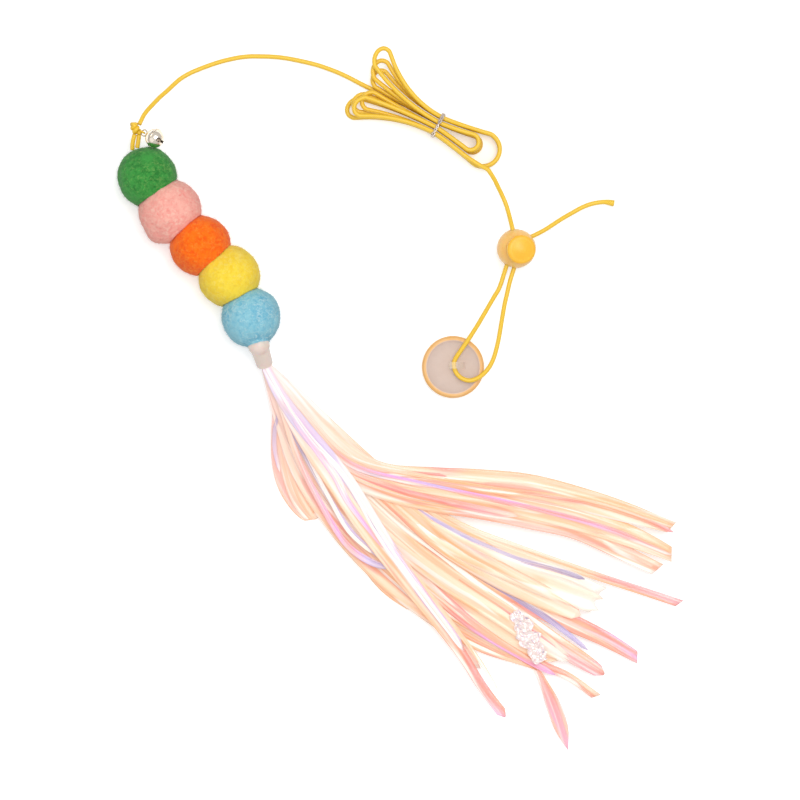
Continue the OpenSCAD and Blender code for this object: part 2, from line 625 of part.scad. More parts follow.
module strips_upper() {
    hand([[-20.9, 0.9, -21, 0.25, 0.62], [-24.4, 0.915, -17.5, 0.25, 0.62],
          [-27.8, 0.91, -14.5, 0.25, 0.62], [-31.5, 0.72, -12, 0.25, 0.62]], 5, 0.55, "#fbe0d2");
}
module strips_long() {
    hand([[-22.6, 0.89, -20, 0.22, 0.6], [-29.4, 0.97, -14, 0.2, 0.58],
          [-35.9, 0.855, -9, 0.2, 0.58], [-40.5, 0.78, -6, 0.2, 0.58]], 4, 0.5, "#f6d9e4");
}
module strips_middle() {
    hand([[-26, 0.78, -17, 0.2, 0.6], [-33.2, 0.83, -10, 0.15, 0.6],
          [-37.5, 0.96, -8, 0.15, 0.6], [-43.5, 0.86, -4, 0.15, 0.6]], 3, 0.5, "#ffe6d6");
}
module strips_lower() {
    hand([[-34.8, 0.84, -9, 0.1, 0.6], [-39, 0.86, -8, 0.1, 0.6],
          [-42.3, 0.94, -7.5, 0.1, 0.6], [-46.8, 0.8, -6, 0.1, 0.6]], 2, 0.5, "#f8dcea");
}
module strips_blade() {
    hand([[-40.5, 0.8, -10, 0.1, 0.6], [-44.7, 0.95, -9, 0.1, 0.6],
          [-48.2, 0.78, -9, 0.1, 0.6], [-51.5, 1, -8.5, 0.1, 0.6]], 1, 0.5, "#fbe0d2");
}
module strips_left() {
    hand([[-45.5, 0.76, -6, 0.1, 0.7], [-49.2, 0.82, -6, 0.1, 0.7],
          [-52.5, 0.7, -5, 0.1, 0.7], [-55.4, 0.87, -3.5, 0.1, 0.7]], 6, 0.42, "#efdcf4");
}
module strips_curved() {
    hand([[-47, 0.72, -19, 0.1, 0.7], [-50, 0.78, -22, 0.1, 0.72],
          [-53, 0.8, -26, 0.1, 0.76], [-55.9, 0.82, -30, 0.1, 0.8]], 0, 0.36, "#fde6da");
}

union() {
    measured = filled(hank_route, 4);
    echo(hank_least_gap = least_gap(measured, 12) - cord_d);
    echo(hank_length = sum([for (i = [1:len(hank_route) - 1]) norm(hank_route[i] - hank_route[i - 1])]));
    echo(rest_length = sum([for (r = [lead_route, loop_route], i = [1:len(r) - 1]) norm(r[i] - r[i - 1])]));
}
hook_base();
adhesive_pad();
cord_knot();
bell_loop();
cord_drop();
cord_lead();
cord_hank();
cord_loop();
hank_tie();
toggle_barrel();
toggle_button();
toggle_spring();
bell_eye();
bell_upper_shell();
bell_lower_shell();
bell_pellet();
ball_green();
ball_pink();
ball_orange();
ball_yellow();
ball_blue();
string_green();
string_pink();
string_orange();
string_yellow();
string_blue();
tassel_sleeve();
tassel_knot();
strips_upper();
strips_long();
strips_middle();
strips_lower();
strips_blade();
strips_left();
strips_curved();
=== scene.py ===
# %% [markdown]
# # A hanging cat teaser, laid out on a table
# Five felt balls and a tassel of shiny film hang on an elastic cord, with a jingle bell above them.
# The spare cord is tied in a hank, and a cord lock closes the loop that hangs in a clear stick-on hook.
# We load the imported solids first, because every piece made below has to sit where they are.
# %% Load the frame
import bpy, bmesh, math, random
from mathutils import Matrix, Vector, noise


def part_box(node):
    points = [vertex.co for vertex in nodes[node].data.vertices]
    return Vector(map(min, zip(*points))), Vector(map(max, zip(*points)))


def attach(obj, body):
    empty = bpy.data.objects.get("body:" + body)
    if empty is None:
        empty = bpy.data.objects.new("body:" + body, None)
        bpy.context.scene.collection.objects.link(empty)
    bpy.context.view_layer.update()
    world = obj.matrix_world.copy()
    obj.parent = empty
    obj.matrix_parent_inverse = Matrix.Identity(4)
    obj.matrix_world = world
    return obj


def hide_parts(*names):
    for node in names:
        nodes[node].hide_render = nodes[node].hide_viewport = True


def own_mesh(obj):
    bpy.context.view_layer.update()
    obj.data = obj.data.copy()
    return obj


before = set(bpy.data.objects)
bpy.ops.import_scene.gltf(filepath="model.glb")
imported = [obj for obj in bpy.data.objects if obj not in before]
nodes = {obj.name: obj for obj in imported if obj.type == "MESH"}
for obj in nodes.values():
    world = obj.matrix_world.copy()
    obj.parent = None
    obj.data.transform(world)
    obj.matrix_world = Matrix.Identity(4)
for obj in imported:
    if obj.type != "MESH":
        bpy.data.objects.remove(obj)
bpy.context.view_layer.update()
MM = 0.001

# %% [markdown]
# ## The camera
# The toy is seen from straight above with a long lens, so that the balls and the flat strips keep one scale. An
# orthographic camera would give the flattest view, but a long lens keeps a trace of depth at the balls' sides.
# A point of the table is named by its place in a view of 800 by 800, at 0.4 mm a step. The hook's middle is the origin.
# %% Camera above the table
STEP = 0.4
HOOK_X, HOOK_Y = 453, 367
VIEW, CAMERA_HEIGHT, SENSOR = 800, 2.5, 36


def on_table(px, py):
    """A point in millimetres, from its place in the view of 800 by 800."""
    return Vector(((px - HOOK_X) * STEP, (HOOK_Y - py) * STEP, 0))


camera = bpy.data.objects.new("camera", bpy.data.cameras.new("camera"))
bpy.context.scene.collection.objects.link(camera)
middle = on_table(VIEW / 2, VIEW / 2) * MM
camera.location = (middle.x, middle.y, CAMERA_HEIGHT)
camera.data.sensor_width = SENSOR
camera.data.lens = SENSOR * CAMERA_HEIGHT / (VIEW * STEP * MM)
camera.data.clip_end = 10
bpy.context.scene.camera = camera
bpy.context.scene.view_settings.view_transform = "Standard"
print("the lens is", round(camera.data.lens), "mm long")

# %% [markdown]
# ## The route of the elastic cord
# One elastic cord runs from the knot above the balls to the hank, is wound into it, runs on through the cord lock
# and the hook, and comes back through the lock to its bare end. The lead and the loop follow points. The hank could be
# drawn by hand too, but its turns would soon run into each other. It follows a rule instead: each loop runs out from
# the tie, bends round and comes back one place over or one layer up.
# %% Points of the lead and of the loop, in millimetres
LEAD = [(-124.9, 96.4, 14), (-124.1, 98.2, 13.3), (-122.9, 100.6, 12), (-121.1, 103, 10.3),
        (-119.1, 105.3, 8.4), (-116.6, 108, 6.3), (-114, 110.4, 4.5), (-111.5, 112.9, 3.1),
        (-108.9, 115.2, 2), (-105.3, 117.4, 1.3), (-101.2, 119.2, 1), (-97.2, 120.7, 1),
        (-93.2, 122, 1), (-89.2, 123, 1), (-85.2, 123.8, 1), (-81.2, 124.2, 1), (-77.2, 124.2, 1),
        (-73.2, 124.1, 1), (-69.2, 123.8, 1), (-65.2, 123.2, 1), (-61.2, 122.4, 1),
        (-57.2, 121.5, 1), (-53.2, 120.4, 1), (-49.2, 119, 1), (-45.2, 117.4, 1), (-41.2, 115.5, 1),
        (-37.2, 113.4, 1)]
LOOP = [(13.6, 78.8, 8.5), (14.9, 77.2, 8.3), (16.5, 74.7, 7.4), (18, 71.7, 6.2), (19.5, 68.7, 5.2),
        (21, 65.2, 4.9), (22.1, 61.6, 5.6), (22.9, 58.3, 7.2), (23.7, 54.8, 8.6),
        (24.4, 51.3, 8.4), (23.8, 47.7, 8.2), (21.2, 40.1, 8.2), (18.6, 32, 8.2),
        (16.6, 28.4, 7.8), (14.4, 24.6, 7.2), (12.2, 20.8, 6.5), (9.6, 16.4, 5.7),
        (6.4, 11.4, 5), (3.6, 7.3, 4.6), (1.4, 4.1, 4.4), (0.5, 2.2, 4.3), (0.4, 0.4, 4.3),
        (0.8, -1.4, 4.3), (1.9, -3.2, 4.3), (3.8, -4.7, 4.3), (6.2, -5.4, 4.3), (8.6, -5, 4.3),
        (11, -3.7, 4.4), (13.2, -1.7, 4.6), (14.9, 0.7, 4.8), (16.3, 3.8, 5), (17.4, 7.6, 5.3),
        (18.3, 11.8, 5.7), (19, 16, 6.2), (19.7, 20.2, 6.8), (20.5, 24.8, 7.3), (21.5, 29.2, 7.6),
        (22.8, 34.7, 7.6), (24.7, 40.6, 7.6), (26.7, 46.7, 7.6), (28.2, 49.7, 7.5),
        (30.2, 51.4, 7.2), (33, 52.8, 6.7), (36.4, 54.6, 5.8), (40.1, 57, 4.6), (43.8, 59.4, 3.4),
        (47.6, 61.6, 2.3), (51.4, 63.7, 1.5), (55.3, 65.2, 1), (60.2, 66, 1), (64.4, 65.4, 1.3)]

# %% [markdown]
# ### The hank's rule
# A loop is written as its turn from the hank's line, its share of the full length, how wide it bends, the places at
# the tie where it starts and ends, and the layers that it starts and ends in.
# %% The hank's loops
CORD_D = 1.8
PITCH = 2.3
HANK_AT, HANK_TURN, TIE_LIFT, LIFT_RUN = Vector((-6, 96.4, 0)), 152, 0.95, 9
LEFT, LEFT_BEND, RIGHT, RIGHT_BEND = 38, 4, 27, 6.8
LEFT_LOOPS = [(13, 0.97, 1, -0.5, -1.5, 0, 0),
              (-7, 0.86, 0.9, 1.5, 0.5, 1, 1), (8, 0.92, 0.92, -0.5, -1.5, 1, 1),
              (-13, 0.92, 1, 1.5, 0.5, 2, 2), (4, 0.84, 0.9, -0.5, -1.5, 2, 2),
              (-20, 1, 1, 1.5, 0.5, 3, 3), (11, 0.9, 0.95, -0.5, -1.5, 3, 3)]
RIGHT_LOOPS = [(0, 0.7, 0.48, 0.5, -0.5, 0, 0), (0, 1, 1, -1.5, 1.5, 0, 1),
               (0, 0.68, 0.48, 0.5, -0.5, 1, 1), (0, 1, 1, -1.5, 1.5, 1, 2),
               (0, 0.66, 0.48, 0.5, -0.5, 2, 2), (0, 1, 1, -1.5, 1.5, 2, 3),
               (1, 0.66, 0.48, 0.5, -0.5, 3, 3)]


# %% Small helpers for soft steps and directions
def ease(x):
    """From 0 to 1 with a soft start and a soft end."""
    x = max(0.0, min(1.0, x))
    return x * x * (3 - 2 * x)


def mix(a, b, x):
    """The value that lies x of the way from a to b."""
    return a + (b - a) * x


def turned(degrees):
    """A step of 1 on the table, turned from the X axis."""
    return Vector((math.cos(math.radians(degrees)), math.sin(math.radians(degrees)), 0))


# %% Points of one loop of the hank
def hank_point(side, turn, full, s, y, layer):
    """A point at s along a loop's line and y across it, from the tie."""
    a = HANK_TURN + 180 * side + turn * s / full
    tip = turned(a - 90) * (-1 if side else 1)
    across = mix(turned(HANK_TURN - 90), tip, ease(s / full * 2)).normalized()
    up = CORD_D / 2 + layer * PITCH + TIE_LIFT * (1 - ease(s / LIFT_RUN))
    return HANK_AT + turned(a) * s + across * y + Vector((0, 0, up))


def half_loop(side, loop, length, bend, runs=6, bends=10):
    """Out from the tie, round the bend and back."""
    turn, share, wide, first, second, low, high = loop
    full, wide = share * length, wide * bend
    run, mid, half = full - wide, (first + second) / 2 * PITCH, abs(first - second) / 2 * PITCH
    way = 1 if first > second else -1
    spread = lambda x: mix(half, wide, x ** (1.3 if side else 2))
    out = [hank_point(side, turn, full, run * i / runs, mid + way * spread(i / runs), low) for i in range(runs)]
    out += [hank_point(side, turn, full, run + wide * math.sin(math.pi * i / bends),
                       mid + way * wide * math.cos(math.pi * i / bends), low) for i in range(bends + 1)]
    out += [hank_point(side, turn, full, run * i / runs, mid - way * spread(i / runs),
                       mix(low, high, min(1, (1 - i / runs) / 0.8))) for i in range(runs - 1, 0, -1)]
    return out


hank = [Vector((-33.6, 111.6, CORD_D / 2)), Vector((-28, 108.9, CORD_D / 2))]
hank += [hank_point(0, 0, LEFT, s, 0.5 * PITCH, 0) for s in (17, 12, 6.4)]
for right, left in zip(RIGHT_LOOPS, LEFT_LOOPS):
    hank += half_loop(1, right, RIGHT, RIGHT_BEND) + half_loop(0, left, LEFT, LEFT_BEND)
WAY_OUT = ((0, -1.5), (5.5, -1.77), (10, -2.12), (16, -2.6), (21.5, -2.87))
hank += [hank_point(1, 1, RIGHT, s, y * PITCH, 3) for s, y in WAY_OUT]
print("the hank has", len(LEFT_LOOPS), "loops on the left,", len(RIGHT_LOOPS), "on the right and", len(hank), "points")


# %% The whole route, made smooth
def smooth(points, per):
    """A soft curve through the points, with per steps from one to the next."""
    p = [2 * points[0] - points[1]] + list(points) + [2 * points[-1] - points[-2]]
    out = []
    for i in range(1, len(p) - 2):
        a, b, c, d = p[i - 1:i + 3]
        out += [0.5 * (2 * b + (c - a) * t + (2 * a - 5 * b + 4 * c - d) * t * t + (3 * b - a - 3 * c + d) * t ** 3)
                for t in (j / per for j in range(per))]
    return out + [p[-2]]


def run_length(points):
    """The way along the points."""
    return sum((b - a).length for a, b in zip(points, points[1:]))


def laid(point):
    """A point that is written at height 1 lies on the table."""
    return Vector((point[0], point[1], point[2] if point[2] > 1 else CORD_D / 2))


route = smooth([laid(p) for p in LEAD] + hank + [laid(p) for p in LOOP], 4)
print("the cord is", round(run_length(route)), "mm long in", len(route), "points")

# %% [markdown]
# ## A round tube that carries its own pattern
# A curve with a round bevel would make a tube too. Here the rings are laid one by one, because the braid needs to know
# how many millimetres along the cord it is. Each ring is turned as little as possible from the last, so nothing twists,
# and the UV map holds the place round the tube and the millimetres along it.
# %% Tube maker
def unlinked_mesh(name, verts, faces, smooth_faces=True):
    """A mesh from points in metres and faces, smooth or flat."""
    mesh = bpy.data.meshes.new(name)
    mesh.from_pydata([tuple(v) for v in verts], [], faces)
    mesh.update()
    mesh.polygons.foreach_set("use_smooth", [smooth_faces] * len(mesh.polygons))
    return mesh


def add_piece(name, mesh, material, body, *stands_for):
    """Links a mesh as a piece, lets it ride on its body and stand for its solids."""
    piece = bpy.data.objects.new(name, mesh)
    bpy.context.scene.collection.objects.link(piece)
    if material:
        mesh.materials.append(material)
    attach(piece, body)
    if stands_for:
        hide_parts(*stands_for)
    return piece


def tube_mesh(name, path, radius, sides=12):
    """path in millimetres; radius is a number or a function of the millimetres from the start."""
    n, verts, faces, along = len(path), [], [], [0.0]
    for a, b in zip(path, path[1:]):
        along.append(along[-1] + (b - a).length)
    heading = [(path[min(i + 1, n - 1)] - path[max(i - 1, 0)]).normalized() for i in range(n)]
    side = heading[0].orthogonal().normalized()
    for i in range(n):
        if i:
            side = (heading[i - 1].rotation_difference(heading[i]) @ side).normalized()
        up = heading[i].cross(side)
        r = radius(along[i]) if callable(radius) else radius
        verts += [(path[i] + (side * math.cos(t) + up * math.sin(t)) * r) * MM
                  for t in (2 * math.pi * k / sides for k in range(sides))]
    faces = [(i * sides + k, i * sides + (k + 1) % sides, (i + 1) * sides + (k + 1) % sides, (i + 1) * sides + k)
             for i in range(n - 1) for k in range(sides)]
    faces += [tuple(range(sides - 1, -1, -1)), tuple((n - 1) * sides + k for k in range(sides))]
    mesh = unlinked_mesh(name, verts, faces)
    uv = mesh.uv_layers.new(name="UVMap").data
    for face in mesh.polygons:
        for loop, vert in zip(face.loop_indices, face.vertices):
            i, k = divmod(vert, sides)
            if k == 0 and any(v % sides == sides - 1 for v in face.vertices):
                k = sides
            uv[loop].uv = (k / sides, along[i])
    return mesh


# %% [markdown]
# ## Materials that several pieces share
# Braid, felt, moulded plastic and film each have one node group. A material places the group and gives it its own
# colours and sizes, so one recipe serves many pieces. What is the same all over a surface, such as sheen, is set on the
# shader itself.
# %% Node helpers
def srgb(r, g, b):
    """A colour as it is seen on a screen, 0 to 255, made linear."""
    f = lambda c: c / 255 / 12.92 if c <= 10 else ((c / 255 + 0.055) / 1.055) ** 2.4
    return (f(r), f(g), f(b), 1.0)


def new_group(name, inputs, outputs):
    """An empty node group with its sockets, and the nodes that stand for its two ends."""
    tree = bpy.data.node_groups.new(name, "ShaderNodeTree")
    for label, kind, value in inputs:
        socket = tree.interface.new_socket(label, in_out="INPUT", socket_type="NodeSocket" + kind)
        socket.default_value = value
    for label, kind in outputs:
        tree.interface.new_socket(label, in_out="OUTPUT", socket_type="NodeSocket" + kind)
    return tree, tree.nodes.new("NodeGroupInput"), tree.nodes.new("NodeGroupOutput")


def node(tree, kind, links=(), **values):
    """A node with its settings, and its inputs linked or filled by name or number."""
    made = tree.nodes.new("ShaderNode" + kind)
    for key, value in values.items():
        setattr(made, key, value)
    for key, value in dict(links).items():
        if isinstance(value, bpy.types.NodeSocket):
            tree.links.new(value, made.inputs[key])
        else:
            made.inputs[key].default_value = value
    return made


def math_node(tree, what, a, b=0.0, c=0.0):
    """The value of one sum."""
    return node(tree, "Math", {0: a, 1: b, 2: c}, operation=what).outputs[0]


def noise_at(tree, where, scale, detail, **more):
    """The value of a noise texture."""
    return node(tree, "TexNoise", {"Vector": where, "Scale": scale, "Detail": detail, **more}).outputs[0]


def bump_from(tree, height, strength, distance):
    """A normal that follows a height."""
    return node(tree, "Bump", {"Height": height, "Strength": strength, "Distance": distance}).outputs[0]


def blend_colour(tree, factor, a, b):
    """Colour a where the factor is 0 and colour b where it is 1."""
    made = tree.nodes.new("ShaderNodeMix")
    made.data_type = "RGBA"
    for socket, value in ((made.inputs[0], factor), (made.inputs[6], a), (made.inputs[7], b)):
        if isinstance(value, bpy.types.NodeSocket):
            tree.links.new(value, socket)
        else:
            socket.default_value = value
    return made.outputs[2]


def ramp(tree, factor, stops):
    """Colours by stops, from 0 to 1."""
    made = node(tree, "ValToRGB", {0: factor})
    while len(made.color_ramp.elements) < len(stops):
        made.color_ramp.elements.new(0.5)
    for element, (place, colour) in zip(made.color_ramp.elements, stops):
        element.position = place
        element.color = colour if len(colour) == 4 else (*colour, 1)
    return made.outputs[0]


def rise_between(tree, factor, low, high, most=1.0):
    """A mask: black up to low, and as bright as most from high on."""
    return ramp(tree, factor, [(low, (0, 0, 0)), (high, (most, most, most))])


def finish_with(name, group, values, wires, **plain):
    """A material: a placed group with its values, wired to the shader, and plain numbers on the shader."""
    material = bpy.data.materials.new(name)
    material.use_nodes = True
    tree = material.node_tree
    shader = tree.nodes["Principled BSDF"]
    placed = tree.nodes.new("ShaderNodeGroup")
    placed.node_tree = group
    for key, value in values.items():
        placed.inputs[key].default_value = value
    for source, target in wires.items():
        tree.links.new(placed.outputs[source], shader.inputs[target])
    for key, value in plain.items():
        shader.inputs[key.replace("_", " ")].default_value = value
    return material


# %% [markdown]
# ### Braid
# Elastic cord is a rubber core in a braid of fine threads. Two sine waves that lean to the left and to the right follow
# the cord's own UV map, and the higher of the two is the thread that lies on top. Where both dip, the groove colour is
# painted shade between the threads. That is far lighter than threads made as geometry, and at this size it looks the
# same.
# %% Braid of the elastic
SURFACE = [("Colour", "Color"), ("Roughness", "Float"), ("Normal", "Vector")]
TURN = 6.28319
braid, g_in, g_out = new_group("Braid", [
    ("Thread", "Color", srgb(244, 204, 44)), ("Groove shade", "Color", srgb(206, 146, 8)),
    ("Strands", "Float", 7.0), ("Pitch", "Float", 0.8)], SURFACE)
uv = node(braid, "SeparateXYZ", {0: node(braid, "UVMap").outputs[0]})
around = math_node(braid, "MULTIPLY", uv.outputs[0], g_in.outputs["Strands"])
length = math_node(braid, "DIVIDE", uv.outputs[1], g_in.outputs["Pitch"])
lean_a = math_node(braid, "SINE", math_node(braid, "MULTIPLY", math_node(braid, "ADD", around, length), TURN))
lean_b = math_node(braid, "SINE", math_node(braid, "MULTIPLY", math_node(braid, "SUBTRACT", around, length), TURN))
weave = math_node(braid, "MULTIPLY_ADD", math_node(braid, "MAXIMUM", lean_a, lean_b), 0.5, 0.5)
fluff = noise_at(braid, node(braid, "TexCoord").outputs["Object"], 1600.0, 4.0)
height = math_node(braid, "MULTIPLY_ADD", fluff, 0.5, weave)
# Painted shade: the groove colour darkens the cord where the braid dips between its threads.
shade = math_node(braid, "MULTIPLY_ADD", weave, 0.75, math_node(braid, "MULTIPLY", fluff, 0.4))
braid.links.new(blend_colour(braid, shade, g_in.outputs["Groove shade"], g_in.outputs["Thread"]), g_out.inputs[0])
braid.links.new(math_node(braid, "MULTIPLY_ADD", fluff, 0.25, 0.42), g_out.inputs[1])
braid.links.new(bump_from(braid, height, 0.3, 0.00006), g_out.inputs[2])
all_three = {"Colour": "Base Color", "Roughness": "Roughness", "Normal": "Normal"}
elastic = finish_with("elastic cord", braid, {}, all_three, Coat_Weight=0.5, Coat_Roughness=0.32)
string_elastic = finish_with("ball string", braid, {"Thread": srgb(232, 186, 60), "Groove shade": srgb(190, 140, 20)},
                             all_three, Sheen_Weight=0.2)
print("the braid has", len(braid.nodes), "nodes")

# %% [markdown]
# ## The elastic cord
# The whole cord from the knot to its bare end is one tube of 1.8 mm. Its cut end swells a little where the braid has
# let go of the rubber core, so the tube's radius is a function of the length and not one number.
# %% Cord
SWELL, SWELL_FROM, SWELL_RUN = 0.42, 4.5, 4
whole = run_length(route)
swell = lambda s: CORD_D / 2 * (1 + SWELL * ease((s - whole + SWELL_FROM) / SWELL_RUN))
cord = add_piece("elastic_cord", tube_mesh("elastic_cord", route, swell, 12), elastic, "cord",
                 "cord_lead", "cord_hank", "cord_loop")
print("the cord's tube has", len(cord.data.polygons), "faces")

# %% [markdown]
# ## Where the balls sit
# The balls' middles follow the same lengths and turns as the solids: each sits a little less than a diameter
# from the last, because the felt is pressed together on its string.
# %% Ball places
BALL_D, BALL_PITCH = 24.4, 17.5
PITCHES, TURNS = (0.93, 1.05, 0.955, 1.055), (-56.5, -48.5, -46.9, -62.3)
SHARES = (0.98, 1.04, 1, 1.015, 0.975)
SLEEVE_TURN = -73.5
COLOURS = ("green", "pink", "orange", "yellow", "blue")
radii = [BALL_D / 2 * share for share in SHARES]
centres = [Vector((-121.8, 75.6, max(radii)))]
for share, turn in zip(PITCHES, TURNS):
    centres.append(centres[-1] + turned(turn) * BALL_PITCH * share)
rise = math.radians(12.5)
last_out = turned(SLEEVE_TURN) * math.cos(rise) + Vector((0, 0, math.sin(rise)))
sleeve_at = centres[4] + last_out * (radii[4] - 0.1)
entry = turned(-61)
print("balls at", [tuple(round(x, 1) for x in c) for c in centres])
print("sleeve at", tuple(round(x, 1) for x in sleeve_at))

# %% [markdown]
# ## Knot, short ends and the loop through the bell's eye
# Above the green ball the cord is tied in a tight overhand knot: two turns round the straight strand. A simulated knot
# would pull itself tight, but its turns could cut each other. A short screw line with two ends looks the same here.
# Its two ends go down into the ball, and a thin stretched loop holds the bell.
# %% Knot and short ends
KNOT, EYE, BELL = Vector((-126.4, 94.6, 14.2)), Vector((-122.9, 93, 14.8)), Vector((-118.6, 90.8, 17.6))
knot_turn = entry.to_track_quat("Z", "Y").to_matrix()
COIL_R, COIL_PITCH, STRETCHED_R, BELL_STRING_R = 0.95, 1.62, 0.9, 0.36
coil = [Vector((COIL_R * math.cos(a), COIL_R * math.sin(a), COIL_PITCH * (a / (2 * math.pi) - 1)))
        for a in (4 * math.pi * i / 40 for i in range(41))]
ends = [Vector((-0.5, 1.5, -2.2))] + coil + [Vector((0.2, -0.7, 2.3))]
knot_path = smooth([KNOT + knot_turn @ p for p in ends], 2)
knot = add_piece("overhand_knot", tube_mesh("overhand_knot", knot_path, STRETCHED_R, 12), elastic, "cord", "cord_knot")
print("the knot takes", round(run_length(knot_path), 1), "mm of cord")

# %% Two short ends into the green ball
foot = centres[0] - entry * (radii[0] + 0.3)
start = mix(KNOT, foot, 0.26)
beside = Vector((2.0, 0.1, 0))
bow = lambda a, b, out: [mix(a, b, t / 6) + out * math.sin(math.pi * t / 6) for t in range(7)]
strand_a = tube_mesh("short_end_a", smooth(bow(start, foot, Vector((-0.25, 0, 0.1))), 3), CORD_D / 2, 12)
strand_b = tube_mesh("short_end_b", smooth(bow(start + beside - Vector((0.32, 0.27, 0.45)),
                                               foot + beside * 0.97 + Vector((0, 0.72, 0)), Vector((0.1, 0, 0))), 3),
                     CORD_D / 2, 12)
end_a = add_piece("short_end_a", strand_a, elastic, "cord", "cord_drop")
end_b = add_piece("short_end_b", strand_b, elastic, "cord", "cord_drop")
print("the short ends are", round((foot - start).length, 1), "mm long")

# %% Loop through the bell's eye
bell_out = (EYE - BELL).normalized()
eye_axis = (Vector((0, 0, 1)) - bell_out * bell_out.z).normalized()
eye_r = 1.275
bow_r = eye_r * 0.84
bow_path = [EYE + bell_out * (bow_r + 0.6 * eye_r) + eye_axis * bow_r]
bow_path += [EYE + bell_out * bow_r - bell_out * bow_r * math.cos(a) + eye_axis * bow_r * math.sin(a)
             for a in (math.radians(90 - 180 * i / 12) for i in range(13))]
bow_path += [EYE + bell_out * (bow_r + 0.6 * eye_r) - eye_axis * bow_r]
bell_mesh = tube_mesh("bell_string", bow_path, BELL_STRING_R, 8)
bell_string = add_piece("bell_string", bell_mesh, elastic, "cord", "bell_loop")
print("the bell hangs on", round(run_length(bow_path), 1), "mm of thin elastic")

# %% [markdown]
# ## Felt
# A felt ball is wool that was rolled until it held together: slightly uneven, matt, mottled, with short fibres
# that stand off it. A picture of felt on a ball looks flat at the rim, where single hairs catch the light. So the
# colour is mottled by noise, the bumps follow it, and fibres of real geometry are scattered on top. The mottle is
# partly the wool's own uneven tone and partly painted light: a darker copy of the wool in the bump's hollows is
# painted shade, and a lighter copy on its raised tips is a painted highlight.
# %% Felt finish
felt, g_in, g_out = new_group("Felt", [("Wool", "Color", (0.5, 0.5, 0.5, 1)), ("Shade", "Color", (0.3, 0.3, 0.3, 1)),
                                       ("Light", "Color", (0.7, 0.7, 0.7, 1))], SURFACE)
place = node(felt, "TexCoord").outputs["Object"]
grains = noise_at(felt, place, 560.0, 5.0, Roughness=0.62, Distortion=0.5)
sparks = noise_at(felt, place, 820.0, 4.0, Roughness=0.6, Distortion=1.0)
clouds = noise_at(felt, place, 110.0, 3.0)
shaded_pits = math_node(felt, "MULTIPLY_ADD", math_node(felt, "SUBTRACT", clouds, 0.5), 0.85, grains)
lit_tips = math_node(felt, "MULTIPLY_ADD", math_node(felt, "SUBTRACT", 0.5, clouds), 0.4, sparks)
# Painted shade and painted highlight: the darker copy goes where the bump sinks, the lighter copy where it rises.
toned = blend_colour(felt, rise_between(felt, shaded_pits, 0.26, 0.64), g_in.outputs["Shade"], g_in.outputs["Wool"])
toned = blend_colour(felt, rise_between(felt, lit_tips, 0.5, 0.76, 0.7), toned, g_in.outputs["Light"])
felt.links.new(toned, g_out.inputs[0])
felt.links.new(math_node(felt, "MULTIPLY_ADD", sparks, 0.1, 0.88), g_out.inputs[1])
felt.links.new(bump_from(felt, math_node(felt, "MULTIPLY_ADD", grains, 1.5, sparks), 0.6, 0.0004), g_out.inputs[2])

# %% Colours of the wool: its own, a darker copy as painted shade and a lighter copy as painted highlight
WOOLS = {"green": (srgb(63, 151, 66), srgb(26, 106, 40), srgb(127, 180, 94)),
         "pink": (srgb(242, 177, 163), srgb(235, 143, 134), srgb(243, 212, 194)),
         "orange": (srgb(250, 115, 15), srgb(238, 80, 3), srgb(250, 162, 67)),
         "yellow": (srgb(242, 214, 68), srgb(236, 198, 42), srgb(243, 226, 128)),
         "blue": (srgb(142, 198, 213), srgb(98, 172, 200), srgb(200, 224, 226))}
wool = {name: finish_with("felt " + name, felt, {"Wool": own, "Shade": shaded, "Light": lit}, all_three,
                          Sheen_Weight=0.16, Sheen_Roughness=0.5, Specular_IOR_Level=0.15)
        for name, (own, shaded, lit) in WOOLS.items()}
print("wool in", ", ".join(wool))

